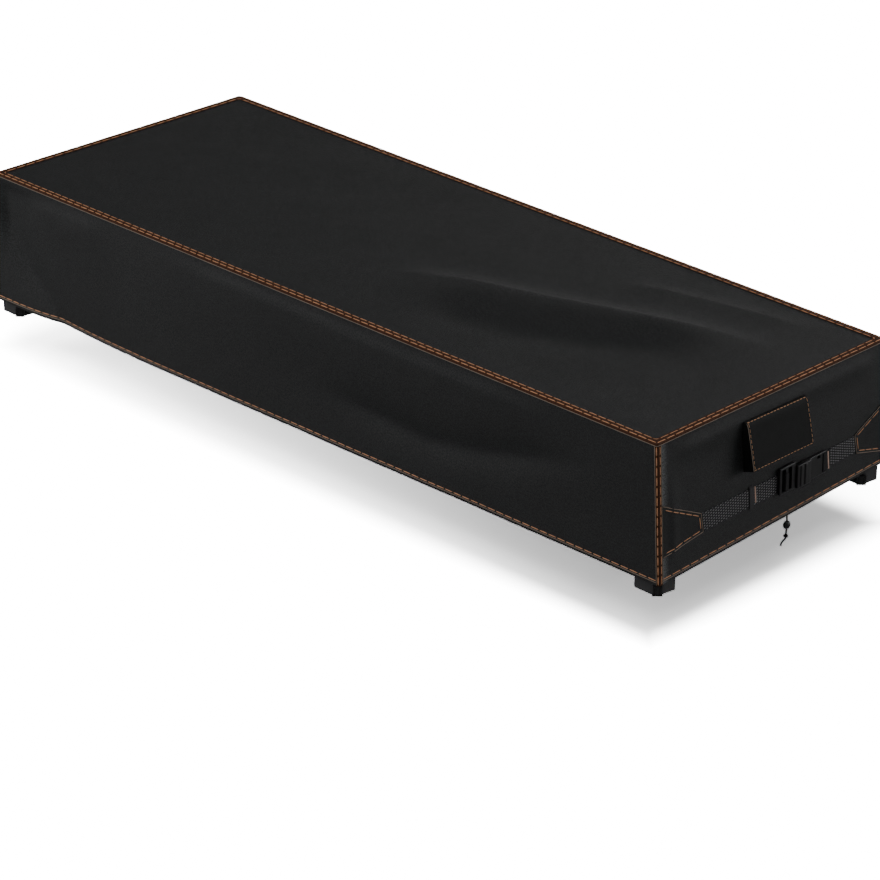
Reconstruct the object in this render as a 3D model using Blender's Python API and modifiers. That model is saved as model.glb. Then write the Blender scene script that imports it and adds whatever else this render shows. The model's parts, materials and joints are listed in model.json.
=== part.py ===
"""Fitted outdoor cover for a flat lounge chair, built piece by piece as it is sewn.

Metres, +Z up. X runs along the cover, the vented end is at +X and the long side in view at -Y.
The origin is the middle of the top panel's underside, where the lounge inside holds it up.
"""

import math
from typing import NamedTuple

import bmesh
import bpy
from mathutils import Matrix, Vector

# Cloth and tape
CLOTH = 0.002            # coated cloth of the five panels
TOP_FACE = CLOTH         # height of the top panel's outer face
HEM_THICKNESS = 0.004    # cloth folded round the drawcord channel
HEM_WIDTH = 0.022
HEM_STEP = 0.003         # the cloth thickens into the hem over this height
HEM_TURN = 0.008         # height of the hem's lowest row of faces
TAPE = 0.001             # seam tape
SEAM_GAP = 0.0003        # pieces that are sewn together stand this far apart
TOP_INSET = CLOTH + 0.0004
END_INSET = HEM_THICKNESS + 0.0005
TOP_TAPE_WIDTH = 0.019
TOP_TAPE_DROP = 0.004
END_TAPE_LEG = 0.0125    # corner tape on an end panel
SIDE_TAPE_LEG = 0.006    # corner tape on a long side panel
TAPE_CLEAR = 0.001       # the cloth stays flat this far past a tape
EDGE_FADE = 0.030        # folds die out over this distance from a taped edge

# Vent hood on the near end panel, measured from the near front corner
HOOD_LEFT = 0.268
HOOD_RIGHT = 0.4675
HOOD_TOP = 0.0385
HOOD_TILT = 0.006        # the right side hangs this much lower
HOOD_FACE_HEIGHT = 0.108
HOOD_GUSSET_HEIGHT = 0.119
HOOD_DEPTH = 0.032
HOOD_CLOTH = 0.0015

# Webbing with its buckle, across the near end panel
WEBBING = 0.0016
WEBBING_WIDTH = 0.042
WEBBING_DOWN = 0.2184    # height of its centre line below the top, at the corner
WEBBING_FALL = 0.012     # drop of that line per metre
WEBBING_REST = SEAM_GAP + WEBBING / 2        # lift of its middle where it lies on the panel
WEBBING_LAID = WEBBING_REST + WEBBING + SEAM_GAP
BUCKLE_UNDERSIDE = SEAM_GAP + WEBBING + SEAM_GAP
LADDER_START = 0.3825
LADDER_LENGTH = 0.054
PLUG_MIDDLE = LADDER_START + LADDER_LENGTH / 2
LADDER_HEIGHT = 0.057
LADDER_THICKNESS = 0.007
LADDER_RAIL = 0.005      # plastic above and below the slots
LADDER_SLOT = 0.013
LADDER_SLOTS = (-0.0145, 0.0065)
LADDER_RISE = 0.002      # the plug's frame sits this much above the webbing's middle
LADDER_ROUNDING = 0.0018
SOCKET_START = 0.4368
SOCKET_BLOCK_LENGTH = 0.046
SOCKET_BLOCK_THICKNESS = 0.012
SOCKET_HEIGHT = 0.054
SOCKET_ROUNDING = 0.0020
SOCKET_PLATE_LENGTH = 0.064
SOCKET_PLATE_THICKNESS = 0.006
PLATE_ROUNDING = 0.0012
PLATE_INSET = 0.001      # the plate is this much lower than the block, above and below
RIB_PLACES = (0.013, 0.028)
RIB_SIZE = (0.008, SOCKET_HEIGHT - 0.006, 0.004)
SOCKET_SLOT = 0.008      # slot for the webbing, near the plate's end
SLOT_FROM_END = 0.018
NOTCH_SIZE = (0.011, 0.0065)
NOTCH_FROM_END = 0.031
NOTCH_RISE = SOCKET_HEIGHT / 2 - 0.008
TONGUE_LENGTH = 0.026
TONGUE_HEIGHT = 0.030
TONGUE_THICKNESS = 0.003
TONGUE_CLEARANCE = 0.0006
JOIN_LAP = 0.004         # shapes that are one moulding run this far into each other
CUT_THROUGH = 0.030      # a cutter that goes right through is this deep
TURN_GAP = 0.0001        # webbing over a bar stands this much further off it
LADDER_OVER = BUCKLE_UNDERSIDE + LADDER_THICKNESS + WEBBING_REST + TURN_GAP
PLATE_OVER = BUCKLE_UNDERSIDE + SOCKET_PLATE_THICKNESS + WEBBING_REST + TURN_GAP
KEEPER = (0.2895, 0.3025)
KEEPER_SIDE = 0.0024     # clearance of its raised part past the webbing's edges
KEEPER_SLOPE = 0.0006
KEEPER_FLANGE = 0.0030
PATCH_CLOTH = 0.0012
PATCH_START = END_TAPE_LEG + 0.0006

# Straps that close round the lounge's legs, one inside each bottom corner
STRAP_LENGTH = 0.072
STRAP_DEPTH = 0.066
STRAP_HEIGHT = 0.034
STRAP_LAP = 0.006        # sewn height inside the hem
STRAP_RADIUS = 0.015
STRAP_WEBBING = 0.002
STRAP_GAP = 0.0004
STRAP_TAIL = 0.005       # turned end that hangs below the strap
TAIL_FROM_END = 0.008
TAIL_WIDTH = 0.009
CLIP_WIDTH = 0.022
CLIP_HEIGHT = 0.023
CLIP_THICKNESS = 0.008
CLIP_SLOT = (0.003, 0.003, 0.017)
CLIP_SLOTS = (-0.0055, 0.0055)
CLIP_ROUNDING = 0.001
CLIP_DROP = 0.0028       # the clip's upper end stands this far below the hem's corner

# Drawcord that leaves the hem at the near end
CORD_DIAMETER = 0.0042
CORD_ROUTE = (
    (1.0465, 0.0545, -0.3100),
    (1.0465, 0.0550, -0.3200),
    (1.0465, 0.0555, -0.3330),
    (1.0465, 0.0555, -0.3440),
    (1.0465, 0.0545, -0.3560),
    (1.0465, 0.0540, -0.3630),
    (1.0465, 0.0500, -0.3665),
    (1.0465, 0.0435, -0.3695),
    (1.0465, 0.0395, -0.3730),
    (1.0465, 0.0390, -0.3775),
)
LOCK_CENTRE = (1.0465, 0.0555, -0.3330)
LOCK_RADIUS = 0.0096
LOCK_FLATNESS = 0.75
LOCK_EYE_RADIUS = 0.0026
LOCK_EYE_OFFSET = 0.0042
KNOT_CENTRE = (1.0465, 0.0543, -0.3590)
KNOT_RADIUS = 0.0040
KNOT_STRAND = 0.0016
KNOT_STRETCH = 1.35
KNOT_TWIST = 0.0007
BORE_CLEARANCE = 0.0003

ROW_CROWDING = 1.5       # above 1, a wall's grid rows crowd towards its top, where it folds
MERGE = 0.00001


class Corner(NamedTuple):
    """One vertical corner of the hung cover: its top, its hem, and how low its strap has slid."""

    top: tuple
    hem: tuple
    slid: float

    @property
    def top_point(self):
        return Vector((*self.top, TOP_FACE))

    @property
    def hem_point(self):
        return Vector(self.hem)


# The hem stands out a little from the top, and each corner hangs in its own way.
FAR_FRONT = Corner(top=(-1.053, -0.385), hem=(-1.049, -0.395, -0.320), slid=0.0)
NEAR_FRONT = Corner(top=(1.044, -0.381), hem=(1.062, -0.378, -0.3175), slid=0.0)
NEAR_BACK = Corner(top=(1.039, 0.373), hem=(1.038, 0.398, -0.303), slid=0.008)
FAR_BACK = Corner(top=(-1.036, 0.396), hem=(-1.047, 0.407, -0.315), slid=0.0)


class Fold(NamedTuple):
    """A soft ridge, or a hollow where height is negative, along a line of a panel."""

    line: tuple          # its points, each along and down (or across) from the first corner
    height: float
    before: float        # its width on the side of the smaller down (or across)
    beyond: float        # its width on the other side
    ease: float = 0.3    # it rises, and dies out, over this share of its length
    power: float = 2.0   # 2 for a rounded fold, nearer 1 for a sharper one

    def height_at(self, place):
        """Its height at one place of the panel."""
        points = [Vector(point) for point in self.line]
        nearest = None
        length = 0.0
        for start, end in zip(points, points[1:]):
            run = end - start
            share = min(max((place - start).dot(run) / run.length_squared, 0.0), 1.0)
            spot = start + run * share
            if nearest is None or (place - spot).length < (place - nearest).length:
                nearest = spot
                reached = length + share * run.length
            length += run.length
        width = self.before if place.y < nearest.y else self.beyond
        passed = reached / length
        swell = smooth_step(passed / self.ease) * smooth_step((1.0 - passed) / self.ease)
        fall = ((place - nearest).length / width) ** self.power
        return self.height * swell * math.exp(-fall)


def smooth_step(value):
    """Ease from 0 to 1 while value goes from 0 to 1."""
    t = min(max(value, 0.0), 1.0)
    return t * t * (3.0 - 2.0 * t)


def lerp(first, second, factor):
    return first + (second - first) * factor


TOP_FOLDS = (
    Fold(
        (
            (1.000, 0.235), (1.213, 0.285), (1.330, 0.322), (1.450, 0.357), (1.561, 0.400),
            (1.674, 0.440), (1.786, 0.480), (1.905, 0.530), (2.000, 0.572),
        ),
        0.0190, 0.115, 0.042, power=1.25,
    ),
    Fold(
        ((1.440, 0.575), (1.610, 0.612), (1.709, 0.636), (1.834, 0.664), (1.950, 0.690)),
        0.0065, 0.050, 0.030, power=1.3,
    ),
    Fold(
        ((1.200, 0.130), (1.327, 0.150), (1.493, 0.172), (1.609, 0.235), (1.710, 0.317),
         (1.860, 0.440)),
        -0.0040, 0.035, 0.060, ease=0.2,
    ),
)
FRONT_FOLDS = (
    Fold(
        ((-0.180, -0.130), (0.026, 0.100), (0.063, 0.153), (0.111, 0.210), (0.167, 0.262),
         (0.400, 0.500)),
        -0.0130, 0.110, 0.034, ease=0.1, power=1.25,
    ),
    Fold(
        ((1.040, 0.170), (1.126, 0.198), (1.282, 0.208), (1.435, 0.217), (1.584, 0.192),
         (1.801, 0.136), (1.950, 0.105)),
        -0.0090, 0.045, 0.036, power=1.5,
    ),
    Fold(((0.100, 0.040), (0.420, 0.040)), 0.0040, 0.016, 0.080),
    Fold(
        ((0.500, 0.042), (0.850, 0.036), (1.360, 0.040), (1.900, 0.034)), 0.0055, 0.016, 0.110,
        ease=0.25,
    ),
)
NEAR_FOLDS = (
    Fold(((0.040, 0.030), (0.300, 0.028), (0.730, 0.032)), 0.0055, 0.012, 0.030, ease=0.1),
)
BACK_FOLDS = (
    Fold(((0.35, 0.05), (0.62, 0.25)), 0.006, 0.035, 0.035),
    Fold(((1.20, 0.06), (1.48, 0.24)), -0.006, 0.038, 0.038),
)
FAR_FOLDS = (
    Fold(((0.20, 0.06), (0.34, 0.24)), 0.005, 0.030, 0.030),
)


class Patch(NamedTuple):
    """A reinforcing patch on the near end: its corners, each along and down."""

    name: str
    upper_left: tuple
    upper_right: tuple
    lower_right: tuple
    lower_left: tuple


class Thread(NamedTuple):
    """Webbing sewn down at one end and threaded round a bar of the buckle at the other."""

    name: str
    sewn_above: float    # where its sewn end's upper corner is along the panel
    sewn_below: float    # and its lower corner
    held_at: float       # where the buckle part that holds it has its frame
    turn: tuple          # its middle surface round the bar, from there on: along and lift


class Panel(NamedTuple):
    """A four-cornered panel: first and last top corner, then the two below them."""

    first: Vector
    last: Vector
    last_below: Vector
    first_below: Vector
    folds: tuple
    side_margin: float
    top_margin: float
    below_margin: float

    @property
    def length(self):
        return (self.last - self.first).length

    @property
    def height(self):
        return ((self.first_below - self.first).length + (self.last_below - self.last).length) / 2

    @property
    def outward(self):
        up = self.first - self.first_below + self.last - self.last_below
        return (self.last - self.first).cross(up).normalized()

    def fade(self, along, down):
        """Keep the taped edges straight: 0 at the edge and 1 away from it."""
        side = self.side_margin + TAPE_CLEAR
        factor = smooth_step((along - side) / EDGE_FADE)
        factor *= smooth_step((self.length - along - side) / EDGE_FADE)
        factor *= smooth_step((down - self.top_margin - TAPE_CLEAR) / EDGE_FADE)
        if self.below_margin:
            below = self.below_margin + TAPE_CLEAR
            factor *= smooth_step((self.height - down - below) / EDGE_FADE)
        return factor

    def point(self, along, down, lift=0.0):
        """Place on the outer face, lifted off it by lift."""
        u = along / self.length
        v = down / self.height
        above = self.first.lerp(self.last, u)
        below = self.first_below.lerp(self.last_below, u)
        place = Vector((along, down))
        bump = sum(fold.height_at(place) for fold in self.folds) * self.fade(along, down)
        return above.lerp(below, v) + self.outward * (bump + lift)


def side_panel(first, last, folds, tape_leg):
    """A wall of the cover, from one corner to the next, counterclockwise from above."""
    return Panel(
        first.top_point, last.top_point, last.hem_point, first.hem_point,
        folds, tape_leg, TOP_TAPE_DROP, 0.0,
    )


FRONT = side_panel(FAR_FRONT, NEAR_FRONT, FRONT_FOLDS, SIDE_TAPE_LEG)
NEAR_END = side_panel(NEAR_FRONT, NEAR_BACK, NEAR_FOLDS, END_TAPE_LEG)
BACK = side_panel(NEAR_BACK, FAR_BACK, BACK_FOLDS, SIDE_TAPE_LEG)
FAR_END = side_panel(FAR_BACK, FAR_FRONT, FAR_FOLDS, END_TAPE_LEG)
TOP = Panel(
    FAR_BACK.top_point, NEAR_BACK.top_point, NEAR_FRONT.top_point, FAR_FRONT.top_point,
    TOP_FOLDS, TOP_TAPE_WIDTH, TOP_TAPE_WIDTH, TOP_TAPE_WIDTH,
)


PATCH_END = NEAR_END.length - PATCH_START
PATCHES = (
    Patch(
        "corner_patch_left",
        upper_left=(PATCH_START, 0.1375), upper_right=(0.1355, 0.1975),
        lower_right=(0.1415, 0.243), lower_left=(PATCH_START, 0.2545),
    ),
    Patch(
        "corner_patch_right",
        upper_left=(0.6460, 0.203), upper_right=(PATCH_END, 0.159),
        lower_right=(PATCH_END, 0.279), lower_left=(0.6540, 0.252),
    ),
)
THREADS = (
    Thread(
        "webbing_left", 0.1370, 0.1420, PLUG_MIDDLE,
        (
            (0.3955, WEBBING_REST), (0.3989, 0.0016), (0.4001, 0.0040), (0.4001, 0.0088),
            (0.4006, 0.0100), (0.4019, LADDER_OVER), (0.4091, LADDER_OVER), (0.4104, 0.0100),
            (0.4110, 0.0088), (0.4111, 0.0028), (0.4105, 0.0013), (0.4093, WEBBING_REST),
            (0.4045, WEBBING_REST),
        ),
    ),
    Thread(
        "webbing_right", 0.6455, 0.6505, SOCKET_START,
        (
            (0.5345, WEBBING_REST), (0.5320, 0.0012), (0.5312, 0.0028), (0.5312, 0.0078),
            (0.5316, 0.0090), (0.5331, PLATE_OVER), (0.5417, PLATE_OVER), (0.5439, 0.0087),
            (0.5455, 0.0068), (0.5481, 0.0048), (0.5525, 0.0034), (0.5615, WEBBING_LAID),
        ),
    ),
)


def top_point(along, across, lift=0.0):
    """Place on the top panel, counted from its front edge at the far end."""
    u = along / TOP.length
    v = across / TOP.height
    front = FAR_FRONT.top_point.lerp(NEAR_FRONT.top_point, u)
    back = FAR_BACK.top_point.lerp(NEAR_BACK.top_point, u)
    place = Vector((along, across))
    bump = sum(fold.height_at(place) for fold in TOP_FOLDS) * TOP.fade(along, TOP.height - across)
    return front.lerp(back, v) + Vector((0.0, 0.0, bump + lift))


def spaced(start, finish, count):
    """count + 1 values from start to finish."""
    return [lerp(start, finish, i / count) for i in range(count + 1)]


def taped_stops(inset, length, margin, count):
    """Grid lines across a panel, with one just clear of the tape at each edge."""
    clear = margin + TAPE_CLEAR
    return [inset, *spaced(clear, length - clear, count), length - inset]


def clear_scene():
    for item in list(bpy.data.objects):
        bpy.data.objects.remove(item, do_unlink=True)


def make_collection(name):
    collection = bpy.data.collections.new(name)
    bpy.context.scene.collection.children.link(collection)
    return collection


def paint(item, colour, roughness, metallic=0.0):
    """Give the object a Principled material of its own."""
    material = bpy.data.materials.new(item.name + "_finish")
    material.use_nodes = True
    shader = material.node_tree.nodes["Principled BSDF"]
    shader.inputs["Base Color"].default_value = (*colour, 1.0)
    shader.inputs["Roughness"].default_value = roughness
    shader.inputs["Metallic"].default_value = metallic
    item.data.materials.clear()
    item.data.materials.append(material)
    return item


def paint_cloth(item):
    return paint(item, (0.016, 0.017, 0.018), 0.62)


def paint_patch(item):
    return paint(item, (0.013, 0.014, 0.015), 0.55)


def paint_tape(item):
    return paint(item, (0.030, 0.018, 0.013), 0.70)


def paint_webbing(item):
    return paint(item, (0.010, 0.010, 0.011), 0.80)


def paint_plastic(item):
    return paint(item, (0.012, 0.012, 0.013), 0.38)


def paint_cord(item):
    return paint(item, (0.008, 0.008, 0.008), 0.75)


def add_mesh(name, mesh_data, collection):
    mesh = bpy.data.meshes.new(name)
    mesh_data.to_mesh(mesh)
    mesh_data.free()
    item = bpy.data.objects.new(name, mesh)
    collection.objects.link(item)
    return item


def add_sheet(
    name, collection, place, across, down, thickness, closed=False, even=False, hem_from=math.inf,
):
    """A sheet of cloth through place(across, down), thickened away from its outer face.

    With hem_from, the rows past that value of down are weighted, for a thicker hem.
    """
    sheet = bmesh.new()
    weights = sheet.verts.layers.deform.verify()
    columns = len(across) - 1
    rows = len(down) - 1
    bmesh.ops.create_grid(sheet, x_segments=columns, y_segments=rows, size=0.5)
    for vertex in sheet.verts:
        column = round((vertex.co.x + 0.5) * columns)
        row = round((0.5 - vertex.co.y) * rows)
        vertex.co = place(across[column], down[row])
        if down[row] > hem_from:
            vertex[weights][0] = 1.0
    if closed:
        bmesh.ops.remove_doubles(sheet, verts=sheet.verts, dist=MERGE)
    item = add_mesh(name, sheet, collection)
    solid = item.modifiers.new("Thickness", "SOLIDIFY")
    solid.thickness = thickness
    solid.offset = -1.0
    solid.use_even_offset = even
    return item


def add_panel(name, collection, panel, columns, rows):
    """A side panel with its thicker folded hem."""
    inset = END_INSET if panel.side_margin == END_TAPE_LEG else 0.0
    across = taped_stops(inset, panel.length, panel.side_margin, columns)
    body = panel.height - HEM_WIDTH
    start = panel.top_margin + TAPE_CLEAR
    down = [0.0, *(lerp(start, body, t ** ROW_CROWDING) for t in spaced(0.0, 1.0, rows))]
    down += [body + HEM_STEP, panel.height - HEM_TURN, panel.height]
    item = add_sheet(
        name, collection, panel.point, across, down, HEM_THICKNESS, hem_from=body + HEM_STEP / 2,
    )
    item.vertex_groups.new(name="hem")
    solid = item.modifiers["Thickness"]
    solid.vertex_group = "hem"
    solid.thickness_vertex_group = CLOTH / HEM_THICKNESS
    return paint_cloth(item)


def add_top_panel(collection):
    along = taped_stops(TOP_INSET, TOP.length, TOP_TAPE_WIDTH, 46)
    across = taped_stops(TOP_INSET, TOP.height, TOP_TAPE_WIDTH, 18)
    across.reverse()
    return paint_cloth(add_sheet("top_panel", collection, top_point, along, across, CLOTH))


def ring_corner(corner, outset, height):
    """Point on a corner's line at a height, moved out from both of its walls."""
    fall = (TOP_FACE - min(height, TOP_FACE)) / (TOP_FACE - corner.hem[2])
    place = corner.top_point.lerp(corner.hem_point, fall)
    side_x = math.copysign(1.0, corner.top[0])
    side_y = math.copysign(1.0, corner.top[1])
    return Vector((place.x + side_x * outset, place.y + side_y * outset, height))


def add_top_tape(collection):
    """The seam tape round the top: a strip that lies on the top panel and turns down its edge."""
    corners = (FAR_FRONT, NEAR_FRONT, NEAR_BACK, FAR_BACK)
    upper = TOP_FACE + SEAM_GAP + TAPE
    out = SEAM_GAP + TAPE
    section = ((-TOP_TAPE_WIDTH, upper), (out, upper), (out, TOP_FACE - TOP_TAPE_DROP))

    def place(turn, stop):
        index = int(turn)
        first = ring_corner(corners[index % 4], *section[stop])
        last = ring_corner(corners[(index + 1) % 4], *section[stop])
        return first.lerp(last, turn - index)

    turns = spaced(0.0, 4.0, 16)
    tape = add_sheet("top_edge_tape", collection, place, turns, (0, 1, 2), TAPE, True, True)
    return paint_tape(tape)


def add_corner_tape(name, collection, before, after):
    """The tape down one corner, over the end of one wall and the start of the next."""
    lift = SEAM_GAP + TAPE
    legs = (before.length - before.side_margin, before.length, after.side_margin)

    def place(stop, down):
        if stop == 0:
            return before.point(legs[0], down, lift)
        if stop == 1:
            return before.point(legs[1], down, lift) + after.outward * lift
        return after.point(legs[2], down * after.height / before.height, lift)

    down = spaced(TOP_TAPE_DROP + SEAM_GAP, before.height - 0.001, 10)
    tape = add_sheet(name, collection, place, (0, 1, 2), down, TAPE, even=True)
    return paint_tape(tape)


def add_hood(collection):
    """The vent hood: a face that swells out downwards between two gussets, open below."""
    edge = HOOD_CLOTH + SEAM_GAP

    def place(side, fall):
        depth = HOOD_DEPTH * math.sqrt(fall)
        left = side <= 1.0
        foot = side in (0.0, 3.0)
        along = HOOD_LEFT if left else HOOD_RIGHT
        if 1.0 < side < 2.0:
            along = lerp(HOOD_LEFT, HOOD_RIGHT, side - 1.0)
        tilt = HOOD_TILT * (along - HOOD_LEFT) / (HOOD_RIGHT - HOOD_LEFT)
        reach = HOOD_GUSSET_HEIGHT if foot else HOOD_FACE_HEIGHT
        down = HOOD_TOP + tilt + reach * fall
        if foot:
            return NEAR_END.point(along, down, SEAM_GAP)
        return NEAR_END.point(along, down, edge + depth)

    sides = [0.0, *spaced(1.0, 2.0, 6), 3.0]
    falls = (0.0, 0.02, 0.08, 0.2, 0.36, 0.55, 0.77, 1.0)
    hood = add_sheet("vent_hood", collection, place, sides, falls, HOOD_CLOTH, even=True)
    return paint_patch(hood)


def add_flat_piece(name, collection, outline, thickness, columns, rows):
    """A four-cornered piece sewn flat on the near end panel.

    outline: upper left, upper right, lower right, lower left, each along and down.
    """
    upper_left, upper_right, lower_right, lower_left = (Vector(p) for p in outline)

    def place(u, v):
        spot = upper_left.lerp(upper_right, u).lerp(lower_left.lerp(lower_right, u), v)
        return NEAR_END.point(spot.x, spot.y, SEAM_GAP + thickness)

    across = spaced(0.0, 1.0, columns)
    down = spaced(0.0, 1.0, rows)
    return add_sheet(name, collection, place, across, down, thickness)


def add_patches(collection):
    """The reinforcing patches at the two corners of the near end."""
    for patch in PATCHES:
        outline = (patch.upper_left, patch.upper_right, patch.lower_right, patch.lower_left)
        paint_patch(add_flat_piece(patch.name, collection, outline, PATCH_CLOTH, 6, 4))


def webbing_down(along, offset=0.0):
    """Height of a webbing line below the top, offset from its centre line."""
    return WEBBING_DOWN + WEBBING_FALL * along + offset


def near_end_frame(along):
    """Matrix of a flat frame under the buckle: X along the webbing, Y up and Z outward."""
    step = 0.02
    down = webbing_down(along)
    origin = NEAR_END.point(along, down, BUCKLE_UNDERSIDE)
    run = NEAR_END.point(along + step, webbing_down(along + step), BUCKLE_UNDERSIDE) - origin
    fall = NEAR_END.point(along, down + step, BUCKLE_UNDERSIDE) - origin
    out = fall.cross(run).normalized()
    run.normalize()
    frame = Matrix((run, out.cross(run), out)).transposed().to_4x4()
    frame.translation = origin
    return frame


def add_webbing(collection, thread):
    """A length of webbing, from its slanted sewn end to its turn round a bar of the buckle."""
    laid = 12
    half = WEBBING_WIDTH / 2
    frame = near_end_frame(thread.held_at)

    def place(stop, side):
        along, lift = thread.turn[max(stop - laid, 0)]
        spot = Vector((along - thread.held_at, -side * half, lift - BUCKLE_UNDERSIDE))
        if stop >= laid:
            return frame @ spot
        sewn = lerp(thread.sewn_above, thread.sewn_below, (side + 1.0) / 2)
        end = NEAR_END.point(sewn, webbing_down(sewn, side * half), WEBBING_REST)
        return end.lerp(frame @ spot, stop / laid)

    stops = range(laid + len(thread.turn))
    if thread.sewn_above > thread.held_at:
        stops = stops[::-1]
    webbing = add_sheet(thread.name, collection, place, stops, (-1.0, 1.0), WEBBING, even=True)
    webbing.modifiers["Thickness"].offset = 0.0
    return paint_webbing(webbing)


def add_keeper(collection):
    """The keeper that holds the webbing down, over it from one edge to the other."""
    low = SEAM_GAP + WEBBING
    high = low + SEAM_GAP + WEBBING
    raised = WEBBING_WIDTH / 2 + KEEPER_SIDE
    sloped = raised + KEEPER_SLOPE
    reach = sloped + KEEPER_FLANGE
    section = (
        (-reach, low), (-sloped, low), (-raised, high), (raised, high), (sloped, low), (reach, low),
    )

    def place(along, stop):
        offset, lift = section[stop]
        return NEAR_END.point(along, webbing_down(along, offset), lift)

    stops = range(len(section))
    return paint_webbing(add_sheet("webbing_keeper", collection, place, KEEPER, stops, WEBBING))


def add_block(name, collection, size, centre, bevel=0.0):
    """A box with its edges rounded."""
    block = bmesh.new()
    bmesh.ops.create_cube(block, size=1.0, matrix=Matrix.Diagonal((*size, 1.0)))
    item = add_mesh(name, block, collection)
    item.location = centre
    if bevel:
        rounding = item.modifiers.new("Rounding", "BEVEL")
        rounding.width = bevel
        rounding.segments = 2
        rounding.limit_method = "ANGLE"
    return item


def combine(item, tools, operation, cutters):
    """Join or cut item with other objects, which stay hidden as tools."""
    for tool in tools:
        for home in list(tool.users_collection):
            home.objects.unlink(tool)
        cutters.objects.link(tool)
        tool.hide_render = True
        tool.display_type = "WIRE"
        step = item.modifiers.new(tool.name, "BOOLEAN")
        step.operation = operation
        step.solver = "EXACT"
        step.object = tool
    return item


def add_ladder(collection, cutters):
    """The buckle's plug: a frame with two slots for the webbing, and a tongue."""
    width = LADDER_LENGTH
    frame = add_block(
        "buckle_plug", collection, (width, LADDER_HEIGHT, LADDER_THICKNESS),
        (0.0, LADDER_RISE, LADDER_THICKNESS / 2), LADDER_ROUNDING,
    )
    opening = LADDER_HEIGHT - 2 * LADDER_RAIL
    slots = [
        add_block(f"plug_slot_{index}", cutters, (LADDER_SLOT, opening, CUT_THROUGH),
                  (x, LADDER_RISE, 0.0))
        for index, x in enumerate(LADDER_SLOTS)
    ]
    tongue = add_block(
        "plug_tongue", cutters, (TONGUE_LENGTH, TONGUE_HEIGHT, TONGUE_THICKNESS),
        (width / 2 + TONGUE_LENGTH / 2 - JOIN_LAP, 0.0, LADDER_THICKNESS / 2),
    )
    combine(frame, slots, "DIFFERENCE", cutters)
    combine(frame, [tongue], "UNION", cutters)
    return frame, slots + [tongue]


def add_socket(collection, cutters):
    """The buckle's socket: a ribbed block, then a flat plate with the webbing's slot."""
    block_length = SOCKET_BLOCK_LENGTH
    body = add_block(
        "buckle_socket", collection, (block_length, SOCKET_HEIGHT, SOCKET_BLOCK_THICKNESS),
        (block_length / 2, 0.0, SOCKET_BLOCK_THICKNESS / 2), SOCKET_ROUNDING,
    )
    ribs = [
        add_block(f"socket_rib_{index}", cutters, RIB_SIZE, (x, 0.0, SOCKET_BLOCK_THICKNESS))
        for index, x in enumerate(RIB_PLACES)
    ]
    plate = add_block(
        "socket_plate", cutters,
        (SOCKET_PLATE_LENGTH, SOCKET_HEIGHT - 2 * PLATE_INSET, SOCKET_PLATE_THICKNESS),
        (block_length + SOCKET_PLATE_LENGTH / 2 - JOIN_LAP, 0.0, SOCKET_PLATE_THICKNESS / 2),
        PLATE_ROUNDING,
    )
    around = 2 * TONGUE_CLEARANCE
    pocket = add_block(
        "socket_pocket", cutters,
        (TONGUE_LENGTH + around, TONGUE_HEIGHT + around, TONGUE_THICKNESS + around),
        (TONGUE_LENGTH / 2, 0.0, LADDER_THICKNESS / 2),
    )
    plate_end = block_length + SOCKET_PLATE_LENGTH
    slot = add_block(
        "socket_slot", cutters, (SOCKET_SLOT, WEBBING_WIDTH + 2 * PLATE_INSET, CUT_THROUGH),
        (plate_end - SLOT_FROM_END, 0.0, 0.0),
    )
    notch = add_block(
        "socket_notch", cutters, (*NOTCH_SIZE, CUT_THROUGH),
        (plate_end - NOTCH_FROM_END, NOTCH_RISE, 0.0),
    )
    combine(body, ribs + [plate], "UNION", cutters)
    combine(body, [pocket, slot, notch], "DIFFERENCE", cutters)
    return body, ribs + [plate, pocket, slot, notch]


def mount_on(frame, item, tools):
    """Stand a piece and its hidden tools on a frame."""
    for part in [item, *tools]:
        part.matrix_world = frame @ Matrix.Translation(part.location)


def add_buckle(collection, cutters):
    """The side-release buckle on the near end's webbing."""
    for add_half, place in ((add_ladder, PLUG_MIDDLE), (add_socket, SOCKET_START)):
        half, tools = add_half(collection, cutters)
        mount_on(near_end_frame(place), half, tools)
        paint_plastic(half)


def rounded_outline(length, depth, radius, segments):
    """Points of a rounded rectangle, counterclockwise from the middle of its -Y side."""
    points = [Vector((0.0, -depth / 2))]
    centres = ((1, -1, -90), (1, 1, 0), (-1, 1, 90), (-1, -1, 180))
    for side_x, side_y, start in centres:
        centre = Vector((side_x * (length / 2 - radius), side_y * (depth / 2 - radius)))
        for step in range(segments + 1):
            angle = math.radians(start + 90.0 * step / segments)
            points.append(centre + radius * Vector((math.cos(angle), math.sin(angle))))
    points.append(points[0].copy())
    return points


def wall_limit(panel, corner, reach, axis):
    """How far out along an axis a strap can stand inside a wall that it is sewn to."""
    side = math.copysign(1.0, corner.top[axis])
    starts_here = panel.first == corner.top_point
    places = []
    for away in (0.0, reach):
        along = away if starts_here else panel.length - away
        places.append(panel.point(along, panel.height)[axis])
        places.append(panel.point(along, panel.height - STRAP_LAP)[axis])
    return side * (min(side * place for place in places) - HEM_THICKNESS - STRAP_GAP)


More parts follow.
